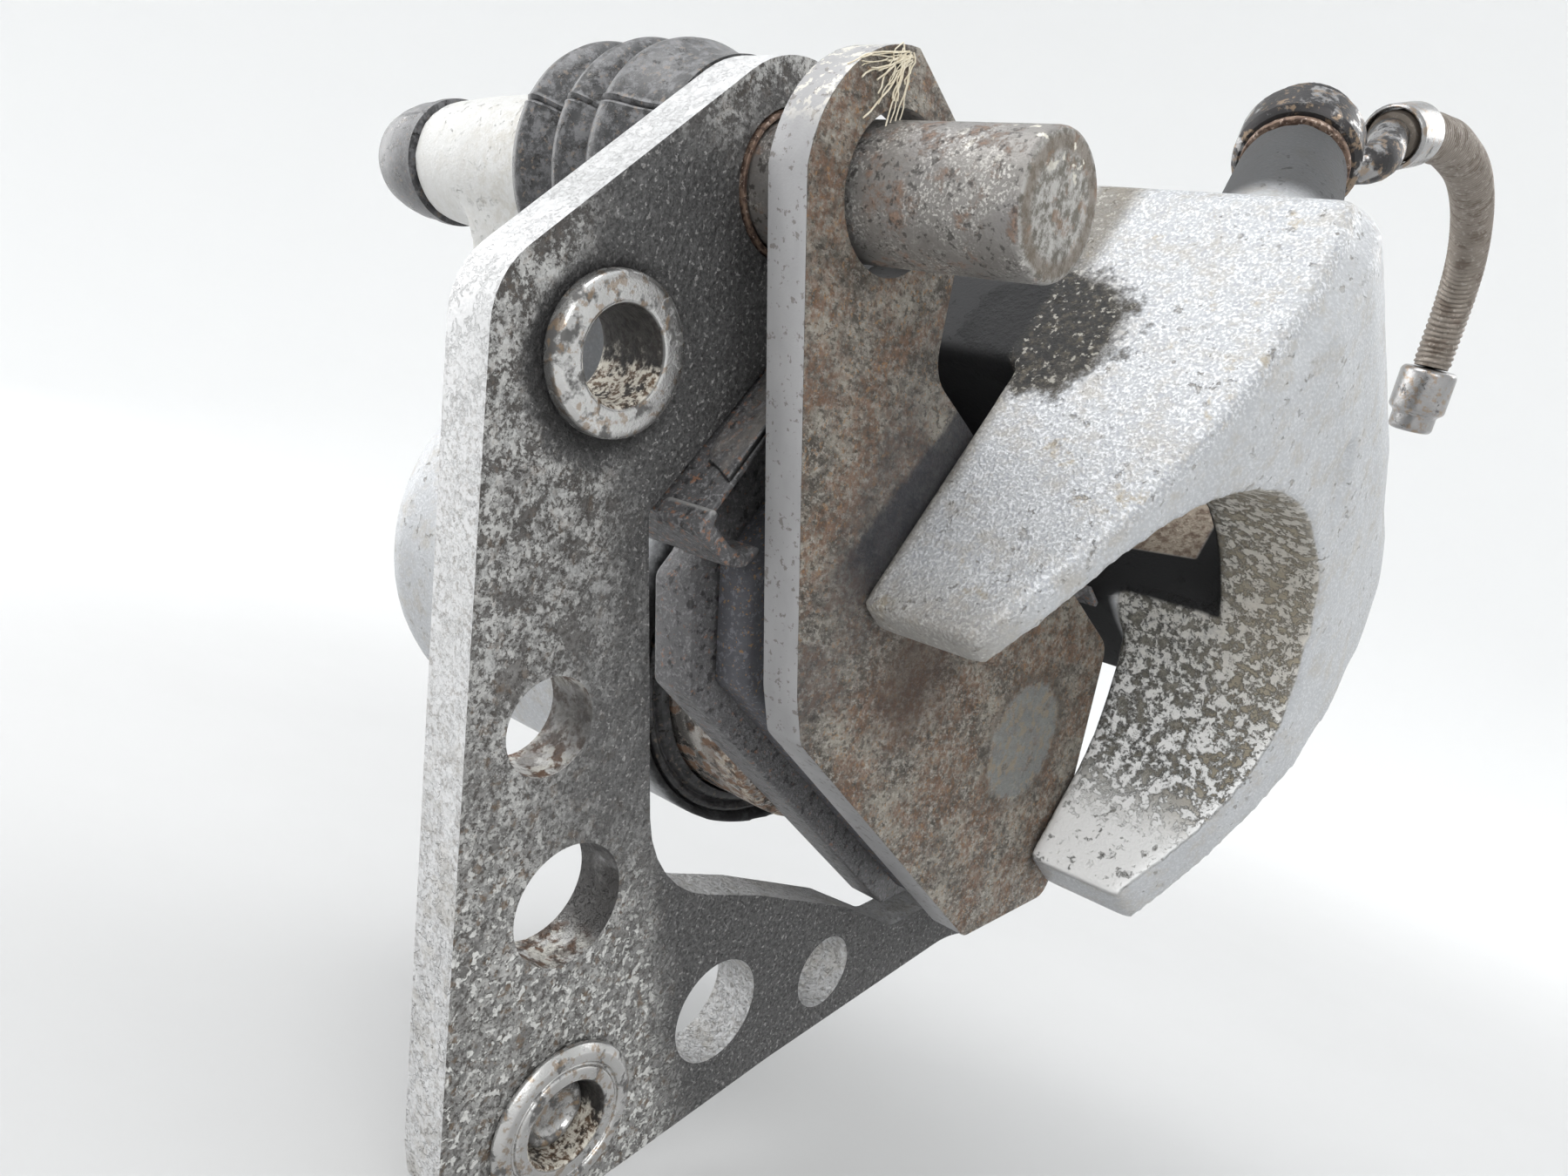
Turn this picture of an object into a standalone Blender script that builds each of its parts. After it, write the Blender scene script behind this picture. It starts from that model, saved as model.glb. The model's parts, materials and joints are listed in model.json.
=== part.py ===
"""Sliding single-piston disc brake caliper on its bracket, with pads and hose.

Frame: +X is the axis of the slide shaft and points outboard, +Z is up.
X = 0 is the bracket's outboard face and the shaft's axis is Y = Z = 0.
Sizes below are in millimetres and become metres in the helper functions.
The pads and the caliper are laid out in their own axes t (along the pad) and
n (away from the wheel's axle), whose origin is the piston's centre.
"""
import math

import bmesh
import bpy
from mathutils import Matrix, Vector

MM = 0.001
GAP = 0.3                                # clearance between pieces that touch

# ---------------------------------------------------------------- driving sizes
PISTON_Y, PISTON_Z = 46.5, -52.0         # piston centre
PAD_TILT = math.radians(-26.0)           # direction of t in the Y-Z plane

BRACKET_T = 6.7
SHAFT_R = 7.0
SHAFT_OUT, SHAFT_STEP, SHAFT_IN = 32.6, -30.6, -56.0
SHAFT_SPIGOT_R = 5.6                     # thinner inboard half, inside the arm
EAR_R = 13.0
BORE_R = 8.1                             # shaft hole in the bracket
COLLAR_R = 7.8

UPPER_MOUNT = (-17.6, -24.0)
LOWER_MOUNT = (8.9, -106.9)
UPPER_HOLE_R, LOWER_HOLE_R = 4.7, 5.15
MOUNT_BOLT_R = 4.4
BOLT_IN = -21.0                          # inboard end of the mount bolt
UPPER_COLLAR_R, UPPER_COLLAR_H = 8.1, 2.7
LOWER_COLLAR_R, LOWER_COLLAR_H = 9.8, 1.6
LIGHTENING = (((-10.2, -61.3), 5.45), ((0.0, -80.8), 7.2),
              ((31.7, -96.2), 7.05), ((53.4, -92.5), 5.3))

OUTER_PLATE = (9.06, 14.06)              # X span of each pad layer
OUTER_LINING = (5.9, 9.06 - GAP)
INNER_LINING = (-1.4 + GAP, 4.5)
INNER_PLATE = (-7.4, -1.4)
ABUTMENT_T = 52.5                        # pad guides' distance from the piston

PISTON_R = 21.0
PISTON_FRONT, PISTON_BACK = INNER_PLATE[0] - GAP, -62.0
BORE_END = -70.0
HOUSING_R, HOUSING_MOUTH, HOUSING_BACK = 31.0, -20.0, -84.5
BRIDGE_BACK = -14.5
HOUSING_RISE = 5.0                       # housing stands off the piston axis along n
ARM_FACE, ARM_END = -34.6, -60.8         # boss on the slide shaft

GUIDE_PIN = (59.0, 7.0)                  # (t, n)
GUIDE_PIN_R = 5.0

U_CUT = (1.5, 9.7, 30.3)                 # centre t, n and radius
FINGER_IN = OUTER_PLATE[1] + GAP
FINGER_TIP_N = -3.6
FACE_T = 34.4                            # the caliper's flat end face

BLEED_X = -54.0

INLET_AXIS = Vector((-0.26, 0.61, 0.75)).normalized()
BANJO_CENTRE = Vector((22.2, 70.4, 36.2))
BANJO_R, BANJO_T = 8.4, 7.0
STEM_DIRECTION = Vector((0.919, 0.394, 0.0)).normalized()
STEM_R = 2.7
HOSE_D = 7.4


# ---------------------------------------------------------------- plane geometry
def yz(t, n):
    """Pad axes (t, n) to (y, z), in millimetres."""
    c, s = math.cos(PAD_TILT), math.sin(PAD_TILT)
    return (PISTON_Y + t * c - n * s, PISTON_Z + t * s + n * c)


def yz_list(points):
    return [yz(*p[:2]) + tuple(p[2:]) for p in points]


def arc(centre, radius, start, end, steps):
    """Points of an arc; angles in degrees, from +y towards +z."""
    pts = []
    for i in range(steps + 1):
        a = math.radians(start + (end - start) * i / max(steps, 1))
        pts.append((centre[0] + radius * math.cos(a), centre[1] + radius * math.sin(a)))
    return pts


def rounded(corners, steps=6):
    """Closed outline from (y, z) or (y, z, radius) corners, each one filleted."""
    out = []
    count = len(corners)
    for i, corner in enumerate(corners):
        p = Vector(corner[:2])
        radius = corner[2] if len(corner) > 2 else 0.0
        before = Vector(corners[i - 1][:2]) - p
        after = Vector(corners[(i + 1) % count][:2]) - p
        angle = before.angle(after)
        if radius <= 0.0 or angle > math.radians(178.0):
            out.append(tuple(p))
            continue
        reach = min(radius / math.tan(angle / 2), 0.49 * before.length, 0.49 * after.length)
        radius = reach * math.tan(angle / 2)
        middle = (before.normalized() + after.normalized()).normalized()
        centre = p + middle * (radius / math.sin(angle / 2))
        a = p + before.normalized() * reach - centre
        b = p + after.normalized() * reach - centre
        turn = math.atan2(a.x * b.y - a.y * b.x, a.dot(b))
        for k in range(steps + 1):
            q = Matrix.Rotation(turn * k / steps, 2) @ a + centre
            out.append(tuple(q))
    return out


# ---------------------------------------------------------------- solids
MATERIALS = {}


def material(name, colour, metallic, roughness):
    mat = bpy.data.materials.new(name)
    mat.use_nodes = True
    shader = mat.node_tree.nodes["Principled BSDF"]
    shader.inputs["Base Color"].default_value = (*colour, 1.0)
    shader.inputs["Metallic"].default_value = metallic
    shader.inputs["Roughness"].default_value = roughness
    MATERIALS[name] = mat


def make_object(name, bm, mat=None, smooth=False):
    bmesh.ops.recalc_face_normals(bm, faces=bm.faces)
    mesh = bpy.data.meshes.new(name)
    bm.to_mesh(mesh)
    bm.free()
    obj = bpy.data.objects.new(name, mesh)
    bpy.context.scene.collection.objects.link(obj)
    if mat:
        mesh.materials.append(MATERIALS[mat])
    if smooth:
        mesh.shade_smooth()
        mesh.set_sharp_from_angle(angle=math.radians(35.0))
    return obj


def prism(name, outline, x0, x1, mat=None):
    """A (y, z) outline extruded along X."""
    bm = bmesh.new()
    face = bm.faces.new([bm.verts.new((x0 * MM, y * MM, z * MM)) for y, z in outline])
    out = bmesh.ops.extrude_face_region(bm, geom=[face])
    verts = [v for v in out["geom"] if isinstance(v, bmesh.types.BMVert)]
    bmesh.ops.translate(bm, verts=verts, vec=((x1 - x0) * MM, 0, 0))
    return make_object(name, bm, mat)


def turned(name, profile, origin=(0, 0, 0), axis=(1, 0, 0), mat=None, steps=40):
    """A closed (along, radius) profile spun round an axis through origin."""
    bm = bmesh.new()
    verts = [bm.verts.new((a * MM, 0, r * MM)) for a, r in profile]
    closed = profile[0][1] > 0 or profile[-1][1] > 0
    count = len(verts)
    pairs = [(verts[i], verts[(i + 1) % count]) for i in range(count if closed else count - 1)]
    edges = [bm.edges.new(p) for p in pairs]
    bmesh.ops.spin(bm, geom=verts + edges, angle=2 * math.pi, steps=steps,
                   axis=(1, 0, 0), cent=(0, 0, 0), use_merge=False)
    bmesh.ops.remove_doubles(bm, verts=bm.verts, dist=1e-7)
    turn = Vector((1, 0, 0)).rotation_difference(Vector(axis)).to_matrix().to_4x4()
    place = Matrix.Translation(Vector(origin) * MM)
    bmesh.ops.transform(bm, matrix=place @ turn, verts=bm.verts)
    return make_object(name, bm, mat, smooth=True)


def rod(name, radius, start, end, centre=(0, 0), mat=None, steps=40, chamfer=0.0):
    """A cylinder along X, with optional end chamfers."""
    c = chamfer
    profile = [(start, 0), (start, radius - c)]
    if c:
        profile += [(start + c, radius), (end - c, radius)]
    profile += [(end, radius - c), (end, 0)] if c else [(end, radius), (end, 0)]
    return turned(name, profile, (0, *centre), mat=mat, steps=steps)


def ring(name, outer, inner, start, end, centre=(0, 0), mat=None, steps=40):
    profile = [(start, inner), (start, outer), (end, outer), (end, inner)]
    return turned(name, profile, (0, *centre), mat=mat, steps=steps)


def tube(name, path, radius, steps=20):
    """A bent rod through path, its rings joined and its ends closed."""
    bm = bmesh.new()
    across = None
    rings = []
    for i, place in enumerate(path):
        along = (path[min(i + 1, len(path) - 1)] - path[max(i - 1, 0)]).normalized()
        across = along.orthogonal() if across is None else across
        across = (across - along * across.dot(along)).normalized()
        rings.append([bm.verts.new((place + (Matrix.Rotation(2 * math.pi * k / steps, 3, along)
                                             @ across) * radius) * MM) for k in range(steps)])
    for a, b in zip(rings, rings[1:]):
        for k in range(steps):
            bm.faces.new((a[k], a[(k + 1) % steps], b[(k + 1) % steps], b[k]))
    bm.faces.new(rings[0])
    bm.faces.new(rings[-1])
    return make_object(name, bm)


def hexagon(name, across, start, end, origin, axis, mat=None):
    """A hexagonal prism along an axis, from start to end past the origin."""
    return turned(name, [(start, 0), (start, across / math.sqrt(3)),
                         (end, across / math.sqrt(3)), (end, 0)],
                  origin, axis, mat, steps=6)


def combine(target, operation, others):
    """Stack Boolean modifiers; the other objects stay as hidden guides."""
    for other in others:
        other.hide_render = True
        other.display_type = "WIRE"
        mod = target.modifiers.new(operation.lower() + "_" + other.name, "BOOLEAN")
        mod.operation = operation
        mod.solver = "EXACT"
        mod.object = other
    return target


def cut(target, *others):
    return combine(target, "DIFFERENCE", others)


def join(target, *others):
    return combine(target, "UNION", others)


# ---------------------------------------------------------------- bracket side
def bracket():
    outline = arc((0, 0), EAR_R, -26, 143, 14)
    outline += rounded_run([
        (-32.4, -21.6, 9), (-2.0, -126.0, 14), (46.4, -104.5, 30), (85.4, -88.9, 20),
        yz(60, -11) + (6,), yz(67, 3) + (6,), yz(67, 19) + (7,), yz(ABUTMENT_T, 19) + (3,),
        yz(ABUTMENT_T, -4) + (2,), yz(34, -21.5) + (4,), yz(20, -24.5) + (8,),
        (33.0, -80.5, 12), (12.5, -79.8, 16), yz(-ABUTMENT_T - 1, -10) + (1.5,)],
        outline[-1], yz(-ABUTMENT_T, 20))
    plate = prism("caliper_bracket", outline, -BRACKET_T, 0, "bracket_steel")
    holes = [(c, r) for c, r in LIGHTENING]
    holes += [((0, 0), BORE_R), (UPPER_MOUNT, COLLAR_HOLE_R), (LOWER_MOUNT, COLLAR_HOLE_R)]
    holes += [(yz(*GUIDE_PIN), GUIDE_PIN_R + GAP)]
    cutters = [rod(f"cut_bracket_{i}", r, -20, 20, c, steps=32) for i, (c, r) in enumerate(holes)]
    return cut(plate, *cutters)


def rounded_run(corners, before, after):
    """Fillets an open run of corners between two fixed points."""
    whole = rounded([tuple(before)] + list(corners) + [tuple(after)])
    return whole[1:-1]


COLLAR_HOLE_R = LOWER_HOLE_R + 1.9


def bracket_fittings():
    turned("slide_shaft", [
        (SHAFT_IN, 0), (SHAFT_IN, SHAFT_SPIGOT_R - 0.8), (SHAFT_IN + 0.8, SHAFT_SPIGOT_R),
        (SHAFT_STEP, SHAFT_SPIGOT_R), (SHAFT_STEP, SHAFT_R), (SHAFT_OUT - 0.8, SHAFT_R),
        (SHAFT_OUT, SHAFT_R - 0.8), (SHAFT_OUT, 0)], mat="dark_steel")
    ring("shaft_collar", COLLAR_R, SHAFT_R + GAP, -BRACKET_T, 0.4, mat="copper_rust")
    for name, place, hole, radius, height in (
            ("upper_mount_collar", UPPER_MOUNT, UPPER_HOLE_R, UPPER_COLLAR_R, UPPER_COLLAR_H),
            ("lower_mount_collar", LOWER_MOUNT, LOWER_HOLE_R, LOWER_COLLAR_R, LOWER_COLLAR_H)):
        neck = COLLAR_HOLE_R - GAP
        turned(name, [(-BRACKET_T, hole), (-BRACKET_T, neck), (GAP, neck), (GAP, radius),
                      (height - 1.0, radius), (height, radius - 1.2),
                      (height, hole + 0.5), (height - 0.5, hole)],
               (0, *place), mat="bright_steel")
    turned("mount_bolt", [(BOLT_IN, 0), (BOLT_IN, MOUNT_BOLT_R - 0.8), (BOLT_IN + 0.8, MOUNT_BOLT_R),
                          (-1.6, MOUNT_BOLT_R), (-0.8, MOUNT_BOLT_R - 0.8), (-0.8, 2.2),
                          (-1.6, 2.2), (-1.6, 0)], (0, *LOWER_MOUNT), mat="dark_steel", steps=36)
    pin_y, pin_z = yz(*GUIDE_PIN)
    turned("guide_pin", [(-36, 0), (-36, 4.2), (-35.2, GUIDE_PIN_R), (GAP, GUIDE_PIN_R),
                         (GAP, 6.4), (4.6, 6.4), (5.4, 5.6), (5.4, 0)],
           (0, pin_y, pin_z), mat="dark_steel", steps=36)
    pad_clip("upper_pad_clip", -1, (-8.0, 13.0))
    pad_clip("lower_pad_clip", 1, (-2.4, 13.0))


def pad_clip(name, side, span):
    """Sprung sheet guide that lines one abutment, with a lip under the pad's ear."""
    sheet = 0.8
    face = ABUTMENT_T - GAP
    n0, n1 = span
    lip = 44.5
    out = [(face, n1), (face, n0 - sheet), (lip, n0 - sheet), (lip, n0),
           (face - sheet, n0), (face - sheet, n1)]
    pts = [yz(side * t, n) for t, n in out]
    prism(name, pts, -BRACKET_T - 1.0, 6.0, "black_steel")


# ---------------------------------------------------------------- pads
def pad_outline(half, bottom, top, left_corner, right_corner):
    return yz_list([(-left_corner[0], bottom, 3), (right_corner[0], bottom, 3),
                    (half, -right_corner[1], 3), (half, top - 5, 4), (half - 8, top, 4),
                    (-half + 8, top, 4), (-half, top - 5, 4), (-half, -left_corner[1], 3)])


def inner_pad():
    half = 41.0
    ear_end = ABUTMENT_T - GAP - 0.8 - GAP
    body = prism("inner_pad_plate", rounded(yz_list([
        (-31, -19.8, 2), (31, -19.8, 2), (half, -10, 1.5), (half, -1.2, 0.8),
        (ear_end, -1.2, 0.8), (ear_end, 10, 0.8), (half, 10, 0.8), (half, 20, 3), (33, 26, 3),
        (-33, 26, 3), (-half, 20, 3), (-half, 10, 0.8), (-ear_end, 10, 0.8),
        (-ear_end, -6.8, 0.8), (-half, -6.8, 0.8), (-half, -11, 1.5)]), 3),
        *INNER_PLATE, "black_steel")
    lining = prism("inner_pad_lining", rounded(yz_list([
        (-30, -16.5, 2), (30, -16.5, 2), (40.4, -7, 2), (40.4, 17, 3), (31, 24, 3),
        (-31, 24, 3), (-40.4, 17, 3), (-40.4, -7, 2)]), 3), *INNER_LINING, "lining")
    return body, lining


def outer_pad():
    ear = arc(yz_inverse_shaft(), 13.8, 62, 62, 0) + arc(yz_inverse_shaft(), 13.8, 130, 218, 16)
    corners = [(-33.5, -16.0, 3), (-28.5, -19.1, 2), (28.0, -19.1, 3), (45.0, -4.2, 3),
               (22.0, 28.1, 4), (-35.0, 21.8, 6), (-44.5, 20.6, 5)]
    whole = rounded([ear[-1]] + corners + [ear[0]])[1:-1]
    outline = yz_list(ear + whole)
    plate = prism("outer_pad_plate", outline, *OUTER_PLATE, "rusty_steel")
    cut(plate, rod("cut_ear", SHAFT_R + 1.05, 0, 20, steps=56))
    lining = prism("outer_pad_lining", rounded(yz_list([
        (-28, -15.0, 2), (27, -15.0, 2), (38, -4, 2), (22, 21, 3), (-33, 19, 3),
        (-37, 12, 3), (-37, -6, 2)]), 3), *OUTER_LINING, "lining")
    return plate, lining


def yz_inverse_shaft():
    """The slide shaft's axis in the pad axes (t, n)."""
    c, s = math.cos(PAD_TILT), math.sin(PAD_TILT)
    return (-PISTON_Y * c - PISTON_Z * s, PISTON_Y * s - PISTON_Z * c)


# ---------------------------------------------------------------- caliper
def outboard_x(n):
    """How far out the caliper's outboard face stands at height n."""
    return 30.9 + 0.49 * n - 0.00487 * n * n


def side_profile(bulge):
    """(X, n) outline of the caliper seen along t; bulge swells the outer face's top."""
    heights = (FINGER_TIP_N, 3, 10, 18, 27, 37, 48, 58)
    pts = [(FINGER_IN, FINGER_TIP_N)]
    pts += [(outboard_x(n) + bulge * min(max((n - 27) / 21, 0), 1), n) for n in heights]
    pts += [(outboard_x(64) + bulge - 0.8, 64.5), (37 + bulge, 68.5), (28, 70), (2, 70),
            (-12, 66), (-36, 50), (-56, 31), (-58, 12), (BRIDGE_BACK, 12),
            (BRIDGE_BACK, 33), (FINGER_IN, 33)]
    return pts


def caliper_core():
    """The bridge and fingers: side profile crossed with the front outline."""
    bm = bmesh.new()
    rings = []
    for t, bulge in ((-FACE_T - 3, 0.0), (-31.5, 0.0), (-28.5, 2.4), (10.0, 0.5), (24.0, -1.2),
                     (48.0, -2.4)):
        rings.append([bm.verts.new((x * MM, *(v * MM for v in yz(t, n))))
                      for x, n in side_profile(bulge)])
    count = len(rings[0])
    for a_ring, b_ring in zip(rings, rings[1:]):
        for i in range(count):
            j = (i + 1) % count
            bm.faces.new((a_ring[i], a_ring[j], b_ring[j], b_ring[i]))
    bm.faces.new(rings[0])
    bm.faces.new(rings[-1])
    core = make_object("caliper_body", bm, "cast_silver")
    front = yz_list([(-FACE_T, -10, 0), (-FACE_T, 63.5, 5), (-20, 71.5, 8), (14, 72.5, 12),
                     (32, 66, 10), (40, 50, 8), (39.5, 30, 10), (41.5, -10, 0)])
    envelope = prism("guide_front", rounded(front[::-1]), -80, 60)
    return combine(core, "INTERSECT", [envelope])


def hull_arm(name, centre_a, r_a, centre_b, r_b, x0, x1):
    """Web between two round bosses: their common tangents, as a prism."""
    a, b = Vector(centre_a), Vector(centre_b)
    reach = b - a
    heading = math.degrees(math.atan2(reach.y, reach.x))
    spread = math.degrees(math.acos((r_a - r_b) / reach.length))
    outline = arc(a, r_a, heading + spread, heading + 360 - spread, 12)
    outline += arc(b, r_b, heading - spread, heading + spread, 12)
    return prism(name, outline, x0, x1)


def caliper():
    centre = yz(0, 0)
    core = caliper_core()
    housing = turned("guide_housing", [
        (HOUSING_BACK, 0), (HOUSING_BACK, HOUSING_R - 8), (HOUSING_BACK + 1.5, HOUSING_R - 4),
        (HOUSING_BACK + 4, HOUSING_R - 1.4), (HOUSING_BACK + 8, HOUSING_R),
        (HOUSING_MOUTH, HOUSING_R), (HOUSING_MOUTH, 0)], (0, *yz(0, HOUSING_RISE)), steps=56)
    arm_boss = turned("guide_arm_boss", [(ARM_END, 0), (ARM_END, 7.9), (-50, 8.8), (ARM_FACE, 9.2),
                                         (ARM_FACE, 0)], steps=32)
    arm = hull_arm("guide_arm", (0, 0), 8.2, centre, 22, -50, -38)
    pin_at = yz(*GUIDE_PIN)
    lug_boss = rod("guide_lug_boss", 10.0, -34, -16.5, pin_at, steps=32)
    lug = hull_arm("guide_lug", pin_at, 8.8, centre, 22, -32, -18)
    seat = BANJO_CENTRE - INLET_AXIS * (BANJO_T / 2 + 2 * GAP + 1.0)
    neck = turned("guide_neck", [(-26, 0), (-26, 8.5), (-6, 7.4), (0, 7.0), (0, 0)],
                  seat, INLET_AXIS, steps=32)
    bleed = turned("guide_bleed_boss", [(22, 0), (22, 7.5), (38, 6.0), (38, 0)],
                   bleed_origin(), (0, *bleed_axis()), steps=32)
    join(core, housing, arm_boss, arm, lug_boss, lug, neck, bleed)
    t0, n0, radius = U_CUT
    arch = [(t0 + radius, -30), *arc((t0, n0), radius, 0, 180, 40), (t0 - radius, -30)]
    u_cut = prism("cut_u", yz_list(arch), FINGER_IN - 0.9, 70)
    window = prism("cut_window", rounded(yz_list([
        (-11, 26, 3), (17, 26, 3), (17, 90, 3), (-11, 90, 3)])), -6, 28.5)
    bore = turned("cut_bore", [(0, 0), (0, 24.9), (HOUSING_MOUTH - 5, 24.9), (HOUSING_MOUTH - 5, 21.35),
                               (-31, 21.35), (-31, 24.2), (-36, 24.2), (-36, 21.35),
                               (BORE_END, 21.35), (BORE_END, 0)][::-1], (0, *centre), steps=56)
    shaft_bore = rod("cut_shaft_bore", SHAFT_SPIGOT_R + 0.3, -70, -30, steps=32)
    pin_bore = rod("cut_pin_bore", GUIDE_PIN_R + 0.3, -44, -10, pin_at, steps=28)
    inlet = turned("cut_inlet", [(-16, 0), (-16, 5.3), (4, 5.3), (4, 0)], seat, INLET_AXIS, steps=24)
    bleed_hole = turned("cut_bleed", [(24, 0), (24, 3.4), (44, 3.4), (44, 0)],
                        bleed_origin(), (0, *bleed_axis()), steps=24)
    cut(core, u_cut, window, bore, shaft_bore, pin_bore, inlet, bleed_hole)
    return core


def bleed_origin():
    y, z = yz(14, 0)
    return (BLEED_X, y, z)


def bleed_axis():
    c, s = math.cos(PAD_TILT), math.sin(PAD_TILT)
    return (-s, c)


def caliper_fittings():
    turned("shaft_boot", boot_profile(), mat="rubber", steps=44)
    turned("arm_cap", [(-61.1, 6.2), (-61.1, 8.3), (-64.0, 8.1), (-69.0, 7.3), (-73.0, 5.8), (-75.0, 3.4),
                       (-75.5, 0), (-73.6, 0), (-71.4, 4.2), (-66.0, 6.2)], mat="rubber", steps=36)
    pin_at = yz(*GUIDE_PIN)
    turned("guide_pin_boot", [(-16.2, 5.3), (-16.2, 6.8), (-14.2, 7.4), (-12.4, 6.5), (-10.4, 7.4),
                              (-8.6, 6.8), (-7.1, 6.8), (-7.1, 5.3)],
           (0, *pin_at), mat="rubber", steps=32)
    centre = yz(0, 0)
    ring("piston_seal", 24.0, PISTON_R + 0.3, -35.6, -31.4, centre, "rubber", 48)
    turned("piston_dust_boot", [(-24.7, 21.4), (-24.7, 24.6), (-20.5, 24.6), (-20.1, 23.9), (-20.9, 23.2),
                                (-19.9, 22.5), (-19.5, 21.4), (-21.1, 21.4), (-22.1, 22.4), (-23.1, 21.4)],
           (0, *centre), mat="rubber", steps=48)
    axis = (0, *bleed_axis())
    turned("bleed_screw", [(25.5, 0), (28.5, 3.0), (40.2, 3.0), (40.2, 4.6), (45.0, 4.6), (45.0, 3.0),
                           (47.5, 3.0), (48.3, 3.6), (49.5, 2.4), (51.0, 2.4), (51.0, 0)],
           bleed_origin(), axis, "brass_dull", 24)
    turned("bleed_cap", [(45.3, 3.3), (45.3, 5.2), (53.0, 4.6), (54.5, 3.2), (54.5, 0),
                         (52.6, 0), (52.6, 3.0), (49.9, 3.9), (47.0, 3.9)],
           bleed_origin(), axis, "rubber", 24)


def boot_profile():
    """Three-fold bellows: crests and valleys, then the same wall inside."""
    start, end = ARM_FACE + GAP, -BRACKET_T - GAP
    outer = [(start, 10.4), (-32.4, 11.4), (-29.6, 14.8), (-27.6, 14.8), (-24.9, 12.4), (-22.2, 15.1),
             (-20.2, 15.1), (-18.2, 12.8), (-16.2, 15.0), (-14.2, 15.0), (-9.6, 13.4), (end, 13.2)]
    wall = 1.5
    inner = [(x, max(r - wall - 0.1, 8.8)) for x, r in outer]
    inner[0] = (start, 9.0)
    inner[-1] = (end, 8.8)
    return outer + inner[::-1]


def interpolate_elbow(a, b, c, d, steps=10):
    """Points on the cubic curve from a to d, pulled towards b and c."""
    pts = []
    for k in range(steps + 1):
        u = k / steps
        pts.append(a * (1 - u) ** 3 + b * 3 * u * (1 - u) ** 2 + c * 3 * u * u * (1 - u) + d * u ** 3)
    return pts


def banjo():
    """Hose union: bolt, two sealing washers, eye with crimped neck, hose."""
    c, a = BANJO_CENTRE, INLET_AXIS
    half = BANJO_T / 2
    for name, sign in (("lower_seal_washer", -1), ("upper_seal_washer", 1)):
        span = sorted((sign * (half + GAP), sign * (half + GAP + 1.0)))
        turned(name, [(span[0], 5.4), (span[0], 7.2), (span[1], 7.2), (span[1], 5.4)],
               c, a, "copper_rust", 32)
    low = -half - GAP * 2 - 12
    top = half + GAP * 2 + 1.0
    bolt = turned("banjo_bolt", [(low, 0), (low, 4.2), (low + 1, 5.0), (top, 5.0), (top, 7.1),
                                 (top + 1.6, 7.1), (top + 1.6, 0)], c, a, "bright_steel", 32)
    head = hexagon("guide_bolt_head", 11.0, top + 1.0, top + 3.6, c, a)
    join(bolt, head)
    route = hose_route()
    first = Vector(route[0]) / MM
    heading = (Vector(route[1]) - Vector(route[0])).normalized()
    eye = turned("banjo_fitting", [(-half, 5.3), (-half, BANJO_R - 0.8), (-half + 0.8, BANJO_R),
                                   (half - 0.8, BANJO_R), (half, BANJO_R - 0.8), (half, 5.3)],
                 c, a, "bright_steel", 40)
    start, finish = c + STEM_DIRECTION * 6.0, first - heading * GAP * 2
    path = interpolate_elbow(start, start + STEM_DIRECTION * 7.0, finish - heading * 3.0, finish)
    join(eye, tube("guide_stem", path, STEM_R))
    turned("hose_ferrule", [(0.2, HOSE_D / 2 + GAP), (0.2, 4.2), (0.8, 4.6), (8.4, 4.6),
                            (9.0, 4.2), (9.0, HOSE_D / 2 + GAP)], first, heading, "bright_steel", 32)
    curve = bpy.data.curves.new("brake_hose", "CURVE")
    curve.dimensions = "3D"
    curve.bevel_depth = HOSE_D / 2 * MM
    curve.bevel_resolution = 4
    curve.use_fill_caps = True
    spline = curve.splines.new("POLY")
    spline.points.add(len(route) - 1)
    for point, place in zip(spline.points, route):
        point.co = (*place, 1.0)
    curve.materials.append(MATERIALS["spring_guard"])
    hose = bpy.data.objects.new("brake_hose", curve)
    bpy.context.scene.collection.objects.link(hose)
    last = Vector(route[-1]) / MM
    away = (Vector(route[-1]) - Vector(route[-2])).normalized()
    turned("hose_end_fitting", [(GAP, 0), (GAP, 5.0), (1.2, 5.6), (9.0, 5.6), (10.0, 4.4), (13.0, 4.4),
                                (13.6, 3.8), (13.6, 0)], last, away, "bright_steel", 32)
    return hose


# Points that the hose passes through, in metres, from the banjo to its far end.
HOSE_POINTS = [
    (0.0290, 0.0834, 0.0446), (0.0291, 0.0900, 0.0481), (0.0289, 0.0975, 0.0513),
    (0.0284, 0.1050, 0.0541), (0.0278, 0.1128, 0.0567), (0.0262, 0.1300, 0.0604), (0.0238, 0.1465, 0.0622),
    (0.0215, 0.1605, 0.0615), (0.0197, 0.1705, 0.0585), (0.0182, 0.1770, 0.0540),
    (0.0171, 0.1808, 0.0488), (0.0164, 0.1828, 0.0440), (0.0161, 0.1836, 0.0400),
]


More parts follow.
